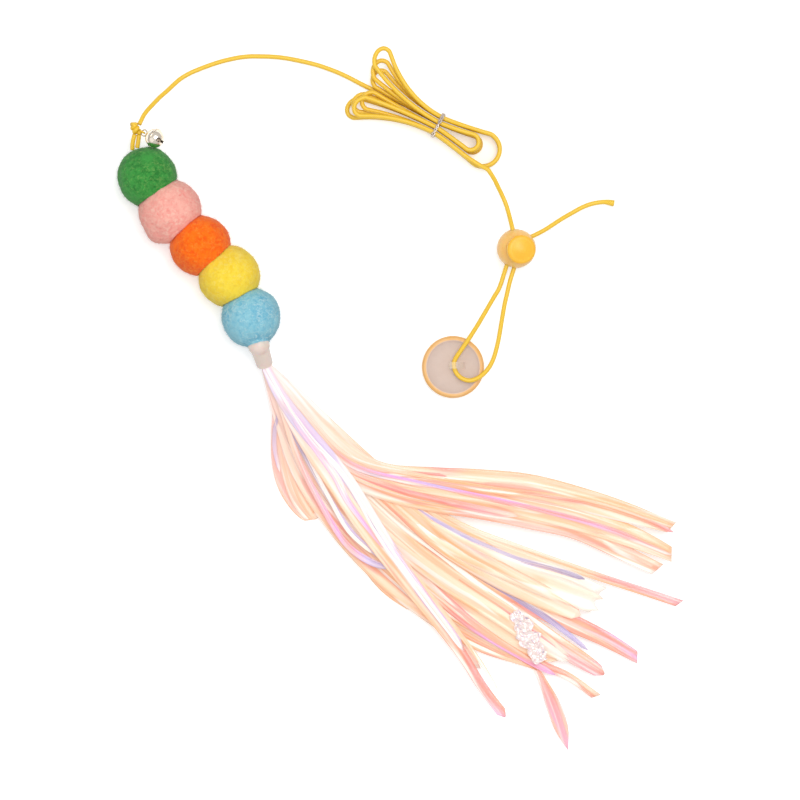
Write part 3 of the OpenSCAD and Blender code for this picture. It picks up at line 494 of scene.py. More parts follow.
# %% [markdown]
# ### Loose fibres by Geometry Nodes
# Points are scattered on the ball with a fixed seed, and each gets one bent hair of three sides. The tree ends in real
# geometry instead of instances, and the result is kept as one plain mesh, which rides and moves like any other piece.
# %% Fibre tree
def fibre_tree():
    """Scatters short bent hairs on a surface."""
    tree = bpy.data.node_groups.new("Loose fibres", "GeometryNodeTree")
    new = tree.interface.new_socket
    new("Geometry", in_out="INPUT", socket_type="NodeSocketGeometry")
    for label, kind, value in (("Fibres in a square metre", "Float", 1.2e6), ("Fibre length", "Float", 0.0011),
                               ("Fibre radius", "Float", 0.000022), ("Seed", "Int", 1)):
        new(label, in_out="INPUT", socket_type="NodeSocket" + kind).default_value = value
    new("Finish", in_out="INPUT", socket_type="NodeSocketMaterial")
    new("Geometry", in_out="OUTPUT", socket_type="NodeSocketGeometry")
    add, link = tree.nodes.new, tree.links.new
    source, result = add("NodeGroupInput"), add("NodeGroupOutput")
    points, hair = add("GeometryNodeDistributePointsOnFaces"), add("GeometryNodeCurveQuadraticBezier")
    link(source.outputs["Geometry"], points.inputs["Mesh"])
    link(source.outputs["Fibres in a square metre"], points.inputs["Density"])
    link(source.outputs["Seed"], points.inputs["Seed"])
    hair.inputs["Resolution"].default_value = 3
    for name, place in (("Start", (0, 0, -0.1)), ("Middle", (0.1, 0, 0.45)), ("End", (0.75, 0.15, 0.42))):
        scaled = add("ShaderNodeVectorMath")
        scaled.operation = "SCALE"
        scaled.inputs[0].default_value = place
        link(source.outputs["Fibre length"], scaled.inputs["Scale"])
        link(scaled.outputs[0], hair.inputs[name])
    ring, skin = add("GeometryNodeCurvePrimitiveCircle"), add("GeometryNodeCurveToMesh")
    ring.inputs["Resolution"].default_value = 3
    link(source.outputs["Fibre radius"], ring.inputs["Radius"])
    link(hair.outputs[0], skin.inputs["Curve"])
    link(ring.outputs[0], skin.inputs["Profile Curve"])
    spin, turn = add("FunctionNodeRandomValue"), add("FunctionNodeRotateRotation")
    size = add("FunctionNodeRandomValue")
    spin.data_type = "FLOAT_VECTOR"
    spin.inputs[0].default_value, spin.inputs[1].default_value = (-0.5, -0.5, -3.14), (0.5, 0.5, 3.14)
    link(source.outputs["Seed"], spin.inputs["Seed"])
    turn.rotation_space = "LOCAL"
    link(points.outputs["Rotation"], turn.inputs[0])
    link(spin.outputs[0], turn.inputs[1])
    size.inputs[2].default_value, size.inputs[3].default_value = 0.45, 1.25
    place = add("GeometryNodeInstanceOnPoints")
    link(points.outputs["Points"], place.inputs["Points"])
    link(skin.outputs[0], place.inputs["Instance"])
    link(turn.outputs[0], place.inputs["Rotation"])
    link(size.outputs[1], place.inputs["Scale"])
    together, real = add("GeometryNodeJoinGeometry"), add("GeometryNodeRealizeInstances")
    coat = add("GeometryNodeSetMaterial")
    link(place.outputs[0], together.inputs[0])
    link(source.outputs["Geometry"], together.inputs[0])
    link(together.outputs[0], real.inputs[0])
    link(real.outputs[0], coat.inputs["Geometry"])
    link(source.outputs["Finish"], coat.inputs["Material"])
    link(coat.outputs[0], result.inputs[0])
    return tree


# %% Running a tree on a mesh
def grow(name, mesh, tree, values):
    """Runs a tree on a mesh and gives back the plain mesh that it makes."""
    holder = bpy.data.objects.new(name, mesh)
    bpy.context.scene.collection.objects.link(holder)
    modifier = holder.modifiers.new(name, "NODES")
    modifier.node_group = tree
    for item in tree.interface.items_tree:
        if item.item_type == "SOCKET" and item.in_out == "INPUT" and item.name in values:
            modifier[item.identifier] = values[item.name]
    evaluated = holder.evaluated_get(bpy.context.evaluated_depsgraph_get())
    plain = bpy.data.meshes.new_from_object(evaluated)
    holder.modifiers.remove(modifier)
    bpy.data.objects.remove(holder)
    plain.name = name
    return plain


# %% [markdown]
# ### The balls' shapes
# No felt ball is round. Each starts as an even sphere of small triangles, because a UV sphere has poles that show.
# Noise moves its points, a few places swell or sink as they do on this toy, the table flattens its foot, and the next
# ball presses a hollow into it. Hairs under a ball are pressed flat by the table too.
# %% Felt balls
SWELLS = {0: ((-20, -0.3), (-95, 0.3)), 1: ((-117, 1.35), (-160, -0.3)), 3: ((-150, 0.3),),
          4: ((-150, -0.35), (35, 0.3))}
SWELL_SIZE, FELT_IN, PRESSED_IN, TABLE_GAP = 0.33, 0.1, 0.18, 0.05
SLEEVE_R, SLEEVE_PRESSED = 4.4, 0.2


def felt_mesh(k):
    """Ball number k, uneven, flat at its foot and pressed by the next one."""
    bm = bmesh.new()
    bmesh.ops.create_icosphere(bm, subdivisions=5, radius=1.0)
    shift = Vector((3.7 * k, 11.3, 5.1 * k))
    if k < 4:
        pressed, pressed_r = centres[k + 1], radii[k + 1] + PRESSED_IN
    else:
        pressed, pressed_r = sleeve_at, SLEEVE_R + SLEEVE_PRESSED
    for v in bm.verts:
        n = v.co.normalized()
        lump = noise.fractal(n * 1.7 + shift, 1.0, 2.0, 3) * 0.34 + noise.fractal(n * 9 + shift, 0.8, 2.0, 2) * 0.12
        for at, high in SWELLS.get(k, ()):
            lump += high * math.exp(-((n - turned(at)).length / SWELL_SIZE) ** 2)
        p = centres[k] + n * (radii[k] - FELT_IN + lump)
        p.z = max(p.z, TABLE_GAP + 0.02 * abs(lump))
        away = p - pressed
        if away.length < pressed_r:
            p = pressed + away.normalized() * pressed_r
        v.co = p * MM
    mesh = bpy.data.meshes.new("felt")
    bm.to_mesh(mesh)
    bm.free()
    mesh.polygons.foreach_set("use_smooth", [True] * len(mesh.polygons))
    return mesh


# %% Balls with their fibres
HAIR_GAP = 0.00004
fibres = fibre_tree()
for k, colour in enumerate(COLOURS):
    mesh = grow("felt_ball_" + colour, felt_mesh(k), fibres, {"Seed": 11 + k, "Finish": wool[colour]})
    for v in mesh.vertices:
        v.co.z = max(v.co.z, HAIR_GAP)
    ball = add_piece("felt_ball_" + colour, mesh, None, "ball_" + colour, "ball_" + colour)
    print(ball.name, "has", len(mesh.polygons), "faces")

# %% [markdown]
# ### The string in the balls
# The balls are threaded on a string. Its five links are hidden in the felt but for a trace between two balls, and their
# solids have the right shape. A solid that is right isn't made again: it keeps its mesh and gets a finish.
# %% Finish for solids whose shape is right
def dress(material, *names):
    """Gives CAD nodes whose shape is right their finish."""
    for name in names:
        nodes[name].data.materials.clear()
        nodes[name].data.materials.append(material)
    print(material.name, "on", ", ".join(names))


dress(string_elastic, *["string_" + colour for colour in COLOURS])

# %% [markdown]
# ## Moulded plastic
# The cord lock, the hook and the sleeve are moulded, and the bell and the spring are metal. Their solids have the right
# shape, so they only get a finish. A plain colour would look like a toy brick: faint clouds in the colour and fine
# scuffs in the shine break it up. One group serves them all.
# %% Moulded finish
moulded, g_in, g_out = new_group("Moulded", [("Plastic", "Color", (0.8, 0.8, 0.8, 1)),
                                             ("Deep", "Color", (0.6, 0.6, 0.6, 1)), ("Gloss", "Float", 0.25)], SURFACE)
place = node(moulded, "TexCoord").outputs["Object"]
haze = noise_at(moulded, place, 180.0, 3.0)
scuff = noise_at(moulded, place, 1500.0, 5.0, Roughness=0.7, Distortion=2.0)
moulded.links.new(blend_colour(moulded, haze, g_in.outputs["Deep"], g_in.outputs["Plastic"]), g_out.inputs[0])
moulded.links.new(math_node(moulded, "MULTIPLY_ADD", scuff, 0.18, g_in.outputs["Gloss"]), g_out.inputs[1])
moulded.links.new(bump_from(moulded, scuff, 0.08, 0.0001), g_out.inputs[2])


# %% Plastics and metals
def moulded_piece(name, own, deep, gloss, **plain):
    """One finish of the group: its own colour, its cloudy colour and its gloss."""
    return finish_with(name, moulded, {"Plastic": own, "Deep": deep, "Gloss": gloss}, all_three, **plain)


lock_body = moulded_piece("cord lock body", srgb(250, 203, 122), srgb(246, 188, 96), 0.2,
                          Subsurface_Weight=0.2, Subsurface_Scale=0.003)
lock_button = moulded_piece("cord lock button", srgb(249, 194, 58), srgb(242, 178, 40), 0.3,
                            Subsurface_Weight=0.15, Subsurface_Scale=0.002)
sleeve_white = moulded_piece("sleeve", srgb(230, 216, 206), srgb(212, 192, 182), 0.3,
                             Subsurface_Weight=0.3, Subsurface_Scale=0.003)
foam = moulded_piece("foam pad", srgb(216, 196, 184), srgb(204, 180, 168), 0.6)
steel = moulded_piece("steel wire", (0.6, 0.6, 0.6, 1), (0.45, 0.45, 0.45, 1), 0.2, Metallic=1.0)
nickel = moulded_piece("bell nickel", (0.9, 0.84, 0.74, 1), (0.78, 0.68, 0.56, 1), 0.08, Metallic=1.0)
tie_skin = moulded_piece("twist tie", srgb(226, 216, 206), srgb(176, 160, 148), 0.15, Metallic=0.7)
print("plastics and metals from one group of", len(moulded.nodes), "nodes")

# %% [markdown]
# ### Clear plastic
# The hook is clear, with a foam pad under it that shows through. Glass that bends light would be slow and noisy at this
# size, so the plastic is see-through by its alpha: faint over the pad, and nearly full past it, where the thick edge
# gathers an amber tint. The hook itself stands above the base and is clearer still.
# %% Clear plastic of the hook
clear, g_in, g_out = new_group("Clear disc", [("Middle tint", "Color", srgb(236, 216, 204)),
                                              ("Edge tint", "Color", srgb(226, 164, 66)),
                                              ("Pad radius", "Float", 0.0105), ("Base top", "Float", 0.0035)],
                               SURFACE + [("Alpha", "Float")])
place = node(clear, "TexCoord").outputs["Object"]
xyz = node(clear, "SeparateXYZ", {0: place}).outputs
square_x, square_y = [math_node(clear, "MULTIPLY", xyz[n], xyz[n]) for n in (0, 1)]
reach = math_node(clear, "SQRT", math_node(clear, "ADD", square_x, square_y))
past_pad = math_node(clear, "SUBTRACT", reach, g_in.outputs["Pad radius"])
edge = node(clear, "MapRange", {0: past_pad, 1: -0.0001, 2: 0.0005}, clamp=True).outputs[0]
above = math_node(clear, "GREATER_THAN", xyz[2], g_in.outputs["Base top"])
haze = noise_at(clear, place, 260.0, 4.0)
tint = blend_colour(clear, edge, g_in.outputs["Middle tint"], g_in.outputs["Edge tint"])
tint = blend_colour(clear, above, tint, srgb(250, 238, 214))
tint = blend_colour(clear, math_node(clear, "MULTIPLY", haze, 0.25), tint, srgb(255, 246, 236))
clear.links.new(tint, g_out.inputs[0])
clear.links.new(math_node(clear, "MULTIPLY_ADD", haze, 0.14, 0.34), g_out.inputs[1])
clear.links.new(bump_from(clear, haze, 0.06, 0.0003), g_out.inputs[2])
solid = math_node(clear, "MULTIPLY_ADD", edge, 0.66, 0.3)
solid = math_node(clear, "MULTIPLY", solid, math_node(clear, "MULTIPLY_ADD", above, -0.55, 1.0))
clear.links.new(math_node(clear, "MULTIPLY_ADD", haze, 0.06, solid), g_out.inputs[3])
clear_plastic = finish_with("clear hook", clear, {}, {**all_three, "Alpha": "Alpha"}, Specular_IOR_Level=0.4)

# %% Plastic and metal on the solids
dress(lock_body, "toggle_barrel")
dress(lock_button, "toggle_button")
dress(sleeve_white, "tassel_sleeve")
dress(string_elastic, "tassel_knot")
dress(clear_plastic, "hook_base")
dress(steel, "toggle_spring", "bell_pellet")
dress(nickel, "bell_eye", "bell_upper_shell", "bell_lower_shell")

# %% [markdown]
# ### The lock's spring
# The button presses its spring together by 2 mm along the joint's own axis, while the spring keeps its foot in the
# well. Here the spring only gets a mesh of its own.
# %% Spring under the button
spring = nodes["toggle_spring"]
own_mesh(spring)

# %% [markdown]
# ### Foam pad under the clear base
# The pad is a die-cut disc of foam tape. It is turned from a short profile, a hair thinner than its place, so that it
# never shares a face with the clear base.
# %% Foam pad
pad_low, pad_high = [[c / MM for c in p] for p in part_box("adhesive_pad")]
PAD_AIR = 0.06
pad_r, pad_t = (pad_high[0] - pad_low[0]) / 2, pad_high[2] - pad_low[2] - PAD_AIR
bm = bmesh.new()
profile = [(0, pad_t), (pad_r * 0.5, pad_t), (pad_r - 0.25, pad_t), (pad_r - 0.08, pad_t - 0.06),
           (pad_r, pad_t - 0.2), (pad_r - 0.06, pad_t / 2), (pad_r, 0.12), (pad_r - 0.12, 0), (pad_r * 0.5, 0), (0, 0)]
chain = [bm.verts.new((x * MM, 0, (pad_low[2] + z) * MM)) for x, z in profile]
rim = [bm.edges.new(pair) for pair in zip(chain, chain[1:])]
bmesh.ops.spin(bm, geom=chain + rim, cent=(0, 0, 0), axis=(0, 0, 1), angle=2 * math.pi, steps=96)
bmesh.ops.remove_doubles(bm, verts=bm.verts, dist=1e-7)
bmesh.ops.recalc_face_normals(bm, faces=bm.faces)
pad_mesh = bpy.data.meshes.new("foam_pad")
bm.to_mesh(pad_mesh)
bm.free()
pad_mesh.polygons.foreach_set("use_smooth", [True] * len(pad_mesh.polygons))
add_piece("foam_pad", pad_mesh, foam, "hook", "adhesive_pad")
print("the pad is", round(pad_r * 2, 1), "mm across and", round(pad_t, 2), "mm thick")

# %% [markdown]
# ## Twist tie
# The hank is held by a twist tie: two thin wires that are wound round each other, once round the waist, with a
# twisted end. One flat band would be simpler, but the silver glints come from the twist. The wires follow a flattened
# screw line along a rounded square.
# %% Twist tie round the waist
TIE_WIRE_R, TIE_TWIST, TIE_SWAY, TIE_DEPTH = 0.32, 3.4, 0.5, 0.14
TIE_IN, TIE_T, TIE_LONG = 3 * PITCH + CORD_D + 0.3, 0.7, 3.8
tie_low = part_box("hank_tie")[0][2] / MM
tie_mid = Vector((HANK_AT.x, HANK_AT.y, tie_low + TIE_T + TIE_IN / 2))
tie_across, tie_along = turned(HANK_TURN - 90), turned(HANK_TURN)


def tie_wire(phase):
    """One wire: up the pigtail's start, round the waist and out again."""
    half, r = TIE_IN / 2 + TIE_T / 2, CORD_D / 2 + 0.15 + TIE_T / 2
    ring = []
    for x, y, a in ((1, 1, 0), (-1, 1, 90), (-1, -1, 180), (1, -1, 270)):
        corner = Vector((x, y)) * (half - r)
        ring += [corner + r * turned(a + t).to_2d() for t in (0, 30, 60, 90)]
    ring = [Vector((0.9, half))] + ring[3:] + ring[:3] + [Vector((0.9, half + 0.1))]
    ring += [Vector((0.9 + t * 0.9, half + 0.25 + t * 0.34)) for t in (1, 2, 3, TIE_LONG)]
    flat = smooth([Vector((p.x, p.y, 0)) for p in ring], 8)
    out, s = [], 0.0
    for i, p in enumerate(flat):
        s += (p - flat[i - 1]).length if i else 0
        ahead = (flat[min(i + 1, len(flat) - 1)] - flat[max(i - 1, 0)]).normalized()
        outward = Vector((ahead.y, -ahead.x, 0))
        turn = s * 2 * math.pi / TIE_TWIST + phase
        p = p - outward * TIE_DEPTH * math.sin(turn)
        out.append(tie_mid + tie_across * p.x + Vector((0, 0, p.y)) + tie_along * TIE_SWAY * math.cos(turn))
    return out


for side, phase in (("a", 0.0), ("b", math.pi)):
    name = "twist_tie_" + side
    add_piece(name, tube_mesh(name, tie_wire(phase), TIE_WIRE_R, 8), tie_skin, "cord", "hank_tie")
print("each wire of the tie is", round(run_length(tie_wire(0.0))), "mm long")

# %% [markdown]
# ## Film of the tassel
# The strips are thin iridescent film, peach where light comes through and pink, lavender or white where it shines.
# The shader has a thin film of its own, but its rainbow is too fine to place, and here each colour has its place: the
# pink, lavender and white are painted reflection, fixed in the colour, while the peach is the film's own. So every
# strip carries its own tone from root to tip, a ramp turns the tone into a colour, and streaks of noise that is drawn
# out along the strip stand for its lengthwise pleats, with painted sheen and painted glints along some of them. Film on
# film is see-through by its alpha.
# %% Film finish
film_group, g_in, g_out = new_group("Film", [("Streaks", "Float", 1.0)], SURFACE)
tone = node(film_group, "Attribute", attribute_name="tone").outputs["Fac"]
uv = node(film_group, "SeparateXYZ", {0: node(film_group, "UVMap").outputs[0]})


def streak(across, along, depth, detail=1.0):
    """Noise that is drawn out along the strip."""
    where = node(film_group, "CombineXYZ", {0: math_node(film_group, "MULTIPLY", uv.outputs[0], across),
                                            1: math_node(film_group, "MULTIPLY", uv.outputs[1], along), 2: depth})
    return noise_at(film_group, where.outputs[0], 1.0, detail, Distortion=0.5)


broad, silk, salmon = streak(0.2, 0.022, 3.1), streak(0.6, 0.02, 5.7), streak(0.24, 0.02, 8.3)
painted_glints, ambered = streak(0.3, 0.024, 17.0), streak(0.22, 0.026, 23.0)
off_middle = math_node(film_group, "ABSOLUTE", math_node(film_group, "SUBTRACT", tone, 0.5))
plain = node(film_group, "MapRange", {0: off_middle, 1: 0.34, 2: 0.5, 3: 1.0, 4: 0.0}, clamp=True).outputs[0]


def on_plain(noise_value, low, high, most):
    """Where a streak shows: not on the strips that are white or lavender all along."""
    return math_node(film_group, "MULTIPLY", rise_between(film_group, noise_value, low, high, most), plain)


# %% Colours of the film
drift = math_node(film_group, "MULTIPLY", g_in.outputs[0], math_node(film_group, "MULTIPLY", plain, 0.7))
drift = math_node(film_group, "MULTIPLY", math_node(film_group, "SUBTRACT", broad, 0.5), drift)
# The ramp's pink, lavender and white are painted reflection of the film's shine; its peach is the film's own colour.
colour = ramp(film_group, math_node(film_group, "ADD", tone, drift), [
    (0.0, srgb(255, 250, 246)), (0.15, srgb(254, 232, 206)), (0.35, srgb(253, 212, 176)),
    (0.5, srgb(252, 194, 150)), (0.6, srgb(246, 154, 140)), (0.7, srgb(248, 176, 184)),
    (0.8, srgb(242, 180, 232)), (0.9, srgb(214, 200, 242)), (1.0, srgb(178, 160, 192))])
colour = blend_colour(film_group, on_plain(ambered, 0.55, 0.65, 0.7), colour, srgb(253, 190, 134))
# Painted sheen: pale streaks along the pleats, where the film shines.
colour = blend_colour(film_group, on_plain(silk, 0.48, 0.68, 0.55), colour, srgb(255, 242, 230))
colour = blend_colour(film_group, on_plain(salmon, 0.65, 0.7, 0.6), colour, srgb(248, 158, 144))
# Painted highlight: near-white glints along thin streaks, on every strip.
colour = blend_colour(film_group, rise_between(film_group, painted_glints, 0.58, 0.66, 0.85), colour, srgb(255, 248, 240))
ROOT_PALE = 75.0
out_of_root = node(film_group, "MapRange", {0: uv.outputs[1], 1: 0.0, 2: ROOT_PALE}, clamp=True).outputs[0]
root = math_node(film_group, "MULTIPLY", math_node(film_group, "SUBTRACT", 1.0, out_of_root),
                 math_node(film_group, "MULTIPLY_ADD", plain, 0.5, 0.25))
colour = blend_colour(film_group, root, colour, srgb(254, 240, 242))
film_group.links.new(colour, g_out.inputs[0])
film_group.links.new(math_node(film_group, "MULTIPLY_ADD", silk, 0.2, 0.2), g_out.inputs[1])
film_group.links.new(bump_from(film_group, math_node(film_group, "MULTIPLY_ADD", silk, 0.3, broad), 0.3, 0.001),
                     g_out.inputs[2])
# The film glows faintly in its own colour: painted light that lifts it where it lies in shade.
film = finish_with("iridescent film", film_group, {}, all_three, Alpha=0.66, Coat_Weight=0.35, Coat_Roughness=0.15,
                   Emission_Strength=0.1)
film_nodes = film.node_tree.nodes
film.node_tree.links.new(film_nodes["Group"].outputs[0], film_nodes["Principled BSDF"].inputs["Emission Color"])
print("the film's group has", len(film_group.nodes), "nodes")

# %% [markdown]
# ## The strips of the tassel
# The tassel is a bunch of flat strips that leave the sleeve in seven hands. A cloth simulation would drop them in some
# heap, but not in this one, so each strip is laid by its own line. It is written as the hand that it leaves the sleeve
# with, its height among the strips, its tone at root, middle and tip, how its end is torn, and the middle line with
# its width, all in steps of the view. All strips start inside the sleeve.
# %% Strips, one by one
# The narrow strips that are white or pale lavender all along lie where the film shines: they are real strips, and their
# colour is painted highlight.
STRIPS = [
    ("curved", 0.0, (0.3, 0.45, 0.5), "round",
     [(277, 400, 10), (279, 430, 15), (281, 458, 19), (288, 482, 23), (300, 503, 22), (312, 519, 14)]),
    ("curved", 0.12, (0.2, 0.5, 0.4), "round",
     [(281, 404, 14), (287, 436, 22), (294, 466, 28), (304, 494, 30), (318, 518, 24)]),
    ("curved", 0.25, (0.3, 0.4, 0.5), "cut",
     [(282, 404, 14), (294, 440, 24), (312, 476, 30), (338, 512, 34), (372, 550, 36), (405, 582, 34), (436, 610, 26),
      (462, 645, 16), (476, 668, 8)]),
    ("curved", 1.4, (0.95, 1.0, 0.9), "point",
     [(277, 410, 2), (275, 430, 4), (275, 450, 4), (280, 472, 3)]),
    ("curved", 5.1, (0.9, 1.0, 0.9), "point",
     [(284, 412, 4), (303, 452, 4), (326, 492, 5), (352, 532, 5), (388, 563, 4)]),
    ("curved", 5.3, (0.0, 0.02, 0.0), "point",
     [(288, 412, 3), (305, 450, 3), (328, 495, 4), (348, 530, 4), (372, 553, 3)]),
    ("curved", 0.35, (0.3, 0.45, 0.5), "round",
     [(283, 404, 10), (300, 450, 14), (330, 500, 18), (362, 546, 24), (390, 580, 28), (420, 606, 20)]),
    ("curved", 5.2, (0.1, 0.75, 0.9), "point",
     [(282, 410, 4), (296, 452, 6), (318, 498, 6), (345, 542, 6), (372, 562, 7), (398, 568, 4)]),
    ("blade", 1.0, (0.4, 0.4, 0.62), "point",
     [(282, 415, 12), (308, 468, 18), (345, 520, 22), (395, 570, 22), (450, 618, 18), (500, 648, 12), (532, 665, 6),
      (544, 684, 9), (554, 707, 15), (562, 730, 13), (568, 750, 2)]),
    ("blade", 1.15, (0.25, 0.3, 0.5), "cut",
     [(281, 418, 14), (303, 472, 22), (340, 525, 26), (385, 572, 28), (435, 612, 26), (480, 640, 22), (515, 656, 14),
      (536, 666, 7)]),
    ("lower", 2.0, (0.5, 0.45, 0.6), "cut",
     [(284, 415, 12), (312, 465, 18), (352, 515, 22), (400, 562, 22), (450, 606, 20), (500, 640, 14), (540, 664, 10),
      (568, 676, 8), (596, 696, 8)]),
    ("lower", 2.15, (0.35, 0.4, 0.15), "torn",
     [(284, 412, 16), (312, 462, 24), (350, 508, 30), (400, 556, 34), (450, 598, 36), (500, 630, 34), (535, 650, 24),
      (560, 656, 12)]),
    ("lower", 2.3, (0.2, 0.55, 0.78), "point",
     [(290, 420, 10), (325, 475, 14), (370, 530, 14), (420, 578, 14), (470, 622, 12), (520, 655, 8), (556, 675, 6)]),
    ("middle", 3.0, (0.35, 0.48, 0.68), "cut",
     [(293, 404, 14), (326, 444, 20), (365, 486, 24), (405, 523, 24), (450, 556, 24), (500, 587, 24), (550, 613, 20),
      (600, 636, 16), (637, 657, 11)]),
    ("middle", 3.15, (0.3, 0.4, 0.67), "round",
     [(290, 408, 14), (322, 450, 20), (360, 492, 24), (405, 535, 24), (450, 572, 24), (500, 606, 24), (550, 640, 20),
      (585, 662, 16), (604, 674, 10)]),
    ("middle", 3.3, (0.15, 0.35, 0.1), "torn",
     [(288, 410, 14), (318, 455, 20), (355, 500, 24), (400, 542, 24), (450, 580, 24), (500, 612, 24), (540, 640, 20),
      (566, 658, 8)]),
    ("middle", 3.4, (0.0, 0.05, 0.0), "point",
     [(298, 418, 4), (338, 464, 5), (398, 522, 6), (440, 554, 5), (480, 585, 5), (530, 618, 3)]),
    ("middle", 3.45, (0.2, 1.0, 0.95), "point",
     [(300, 415, 5), (340, 460, 5), (400, 515, 6), (440, 545, 6), (470, 569, 6), (510, 594, 6), (550, 620, 6),
      (588, 650, 4)]),
    ("long", 4.0, (0.35, 0.4, 0.56), "cut",
     [(298, 395, 12), (328, 425, 14), (362, 458, 16), (395, 487, 16), (430, 512, 14), (470, 532, 12), (510, 546, 10),
      (550, 560, 9), (600, 577, 8), (640, 590, 8), (679, 603, 8)]),
    ("long", 4.15, (0.2, 0.3, 0.05), "torn",
     [(296, 400, 14), (330, 438, 18), (370, 478, 24), (410, 512, 28), (450, 538, 32), (500, 560, 34), (550, 580, 36),
      (598, 600, 30)]),
    ("long", 4.25, (0.3, 0.5, 0.35), "round",
     [(298, 402, 10), (334, 440, 14), (374, 480, 20), (412, 514, 24), (450, 545, 26), (500, 575, 26), (550, 600, 22),
      (580, 615, 12)]),
    ("long", 4.3, (0.3, 0.9, 0.95), "point",
     [(300, 404, 3), (340, 444, 3), (400, 496, 3), (450, 528, 4), (510, 556, 5), (550, 567, 6), (585, 579, 4)]),
    ("upper", 5.0, (0.2, 0.45, 0.5), "cut",
     [(288, 404, 12), (312, 442, 18), (350, 474, 22), (395, 492, 22), (440, 502, 22), (480, 508, 22), (530, 519, 20),
      (575, 530, 18), (620, 551, 16), (657, 569, 14)]),
    ("upper", 5.15, (0.2, 0.48, 0.34), "cut",
     [(290, 402, 12), (316, 436, 18), (350, 466, 20), (390, 482, 20), (435, 490, 26), (480, 497, 28), (530, 507, 28),
      (580, 519, 26), (630, 536, 22), (671, 554, 14)]),
    ("upper", 5.3, (0.2, 0.46, 0.36), "cut",
     [(294, 396, 13), (322, 428, 16), (352, 455, 18), (385, 470, 14), (435, 477, 20), (480, 481, 24), (530, 487, 26),
      (580, 499, 24), (625, 512, 20), (671, 527, 12)]),
    ("upper", 5.42, (0.2, 0.6, 0.6), "point",
     [(297, 408, 4), (330, 450, 4), (372, 471, 5), (410, 474, 6), (447, 476, 5)]),
    ("upper", 5.5, (0.3, 0.92, 0.6), "point",
     [(300, 410, 3), (345, 462, 4), (400, 480, 5), (440, 486, 6), (490, 497, 8), (537, 509, 5)]),
    ("upper", 5.55, (0.3, 0.58, 0.62), "point",
     [(298, 412, 3), (340, 464, 4), (400, 490, 6), (450, 502, 7), (490, 511, 7), (518, 516, 4)]),
    ("upper", 5.6, (0.2, 0.4, 0.62), "point",
     [(302, 406, 3), (350, 456, 3), (420, 475, 4), (500, 488, 4), (580, 500, 5), (630, 514, 5), (673, 532, 5)]),
    ("upper", 5.65, (0.2, 0.85, 0.7), "point",
     [(300, 408, 3), (350, 462, 3), (420, 482, 3), (500, 500, 4), (580, 520, 5), (630, 537, 6), (672, 555, 4)]),
    ("left", 6.0, (0.1, 0.35, 0.68), "round",
     [(284, 402, 12), (306, 440, 16), (335, 482, 18), (368, 530, 18), (402, 575, 16), (436, 618, 14), (462, 654, 11),
      (482, 686, 10), (505, 716, 10)]),
    ("left", 6.1, (0.4, 0.4, 0.35), "point",
     [(300, 420, 4), (350, 490, 4), (400, 555, 4), (440, 607, 4), (462, 636, 4), (480, 661, 4), (498, 689, 2)]),
    ("left", 6.2, (0.92, 0.9, 0.9), "point",
     [(282, 397, 13), (306, 430, 15), (332, 460, 14), (352, 486, 13), (374, 521, 12), (397, 557, 11), (430, 604, 9),
      (450, 630, 8), (464, 650, 6)]),
    ("left", 6.35, (0.9, 0.8, 0.75), "point",
     [(286, 400, 5), (300, 425, 7), (318, 450, 8), (336, 476, 8), (348, 500, 7), (366, 525, 5), (384, 548, 3)]),
    ("left", 6.45, (0.0, 0.0, 0.0), "point",
     [(284, 398, 3), (310, 436, 4), (340, 470, 6), (358, 496, 7), (380, 535, 8), (405, 570, 8), (432, 607, 7),
      (450, 631, 6), (463, 650, 4)])]

# %% Where the strips leave the sleeve
SLEEVE_LONG = 9.6
drop = math.radians(-35)
sleeve_out = turned(SLEEVE_TURN) * math.cos(drop) + Vector((0, 0, math.sin(drop)))
sleeve_end = sleeve_at + sleeve_out * SLEEVE_LONG
print("the strips start at", tuple(round(x, 1) for x in sleeve_end))

# %% [markdown]
# ### One strip
# A strip is a grid of points along its line. Three sine waves across it make the pleats, its end is cut, torn, rounded
# or pointed, and a second sheet 0.07 mm below closes it to a thin skin. Solidify could give that thickness, but the
# tone and the millimetres along the strip have to stay with the points, so the skin is made at once.
# %% A thin skin from a grid of points
FILM_T, TABLE_FILM = 0.07, 0.12


def skin_mesh(name, verts, rows, cols, marks, tone, smooth_faces=True):
    """A grid of points as a closed thin skin, with its places on the film and its tone kept on it."""
    n, row = len(verts), cols + 1
    faces = []
    for i in range(rows):
        for j in range(cols):
            k = i * row + j
            faces += [(k, k + row, k + row + 1, k + 1), (n + k, n + k + 1, n + k + row + 1, n + k + row)]
    rim = list(range(cols)) + [i * row + cols for i in range(rows)]
    rim += [rows * row + j for j in range(cols, 0, -1)] + [i * row for i in range(rows, 0, -1)]
    faces += [(k, m, n + m, n + k) for k, m in zip(rim, rim[1:] + rim[:1])]
    below = [(v - Vector((0, 0, FILM_T))) * MM for v in verts]
    mesh = unlinked_mesh(name, [v * MM for v in verts] + below, faces, smooth_faces)
    uv = mesh.uv_layers.new(name="UVMap").data
    for loop in mesh.loops:
        uv[loop.index].uv = marks[loop.vertex_index % n]
    mesh.attributes.new("tone", "FLOAT", "POINT").data.foreach_set("value", tone * 2)
    return mesh


# %% The rows of one strip
IN_SLEEVE, FALL_RUN = 2.5, 55
LAYER, SLEEVE_LAYER, LOWEST = 1.15, 0.6, 0.55


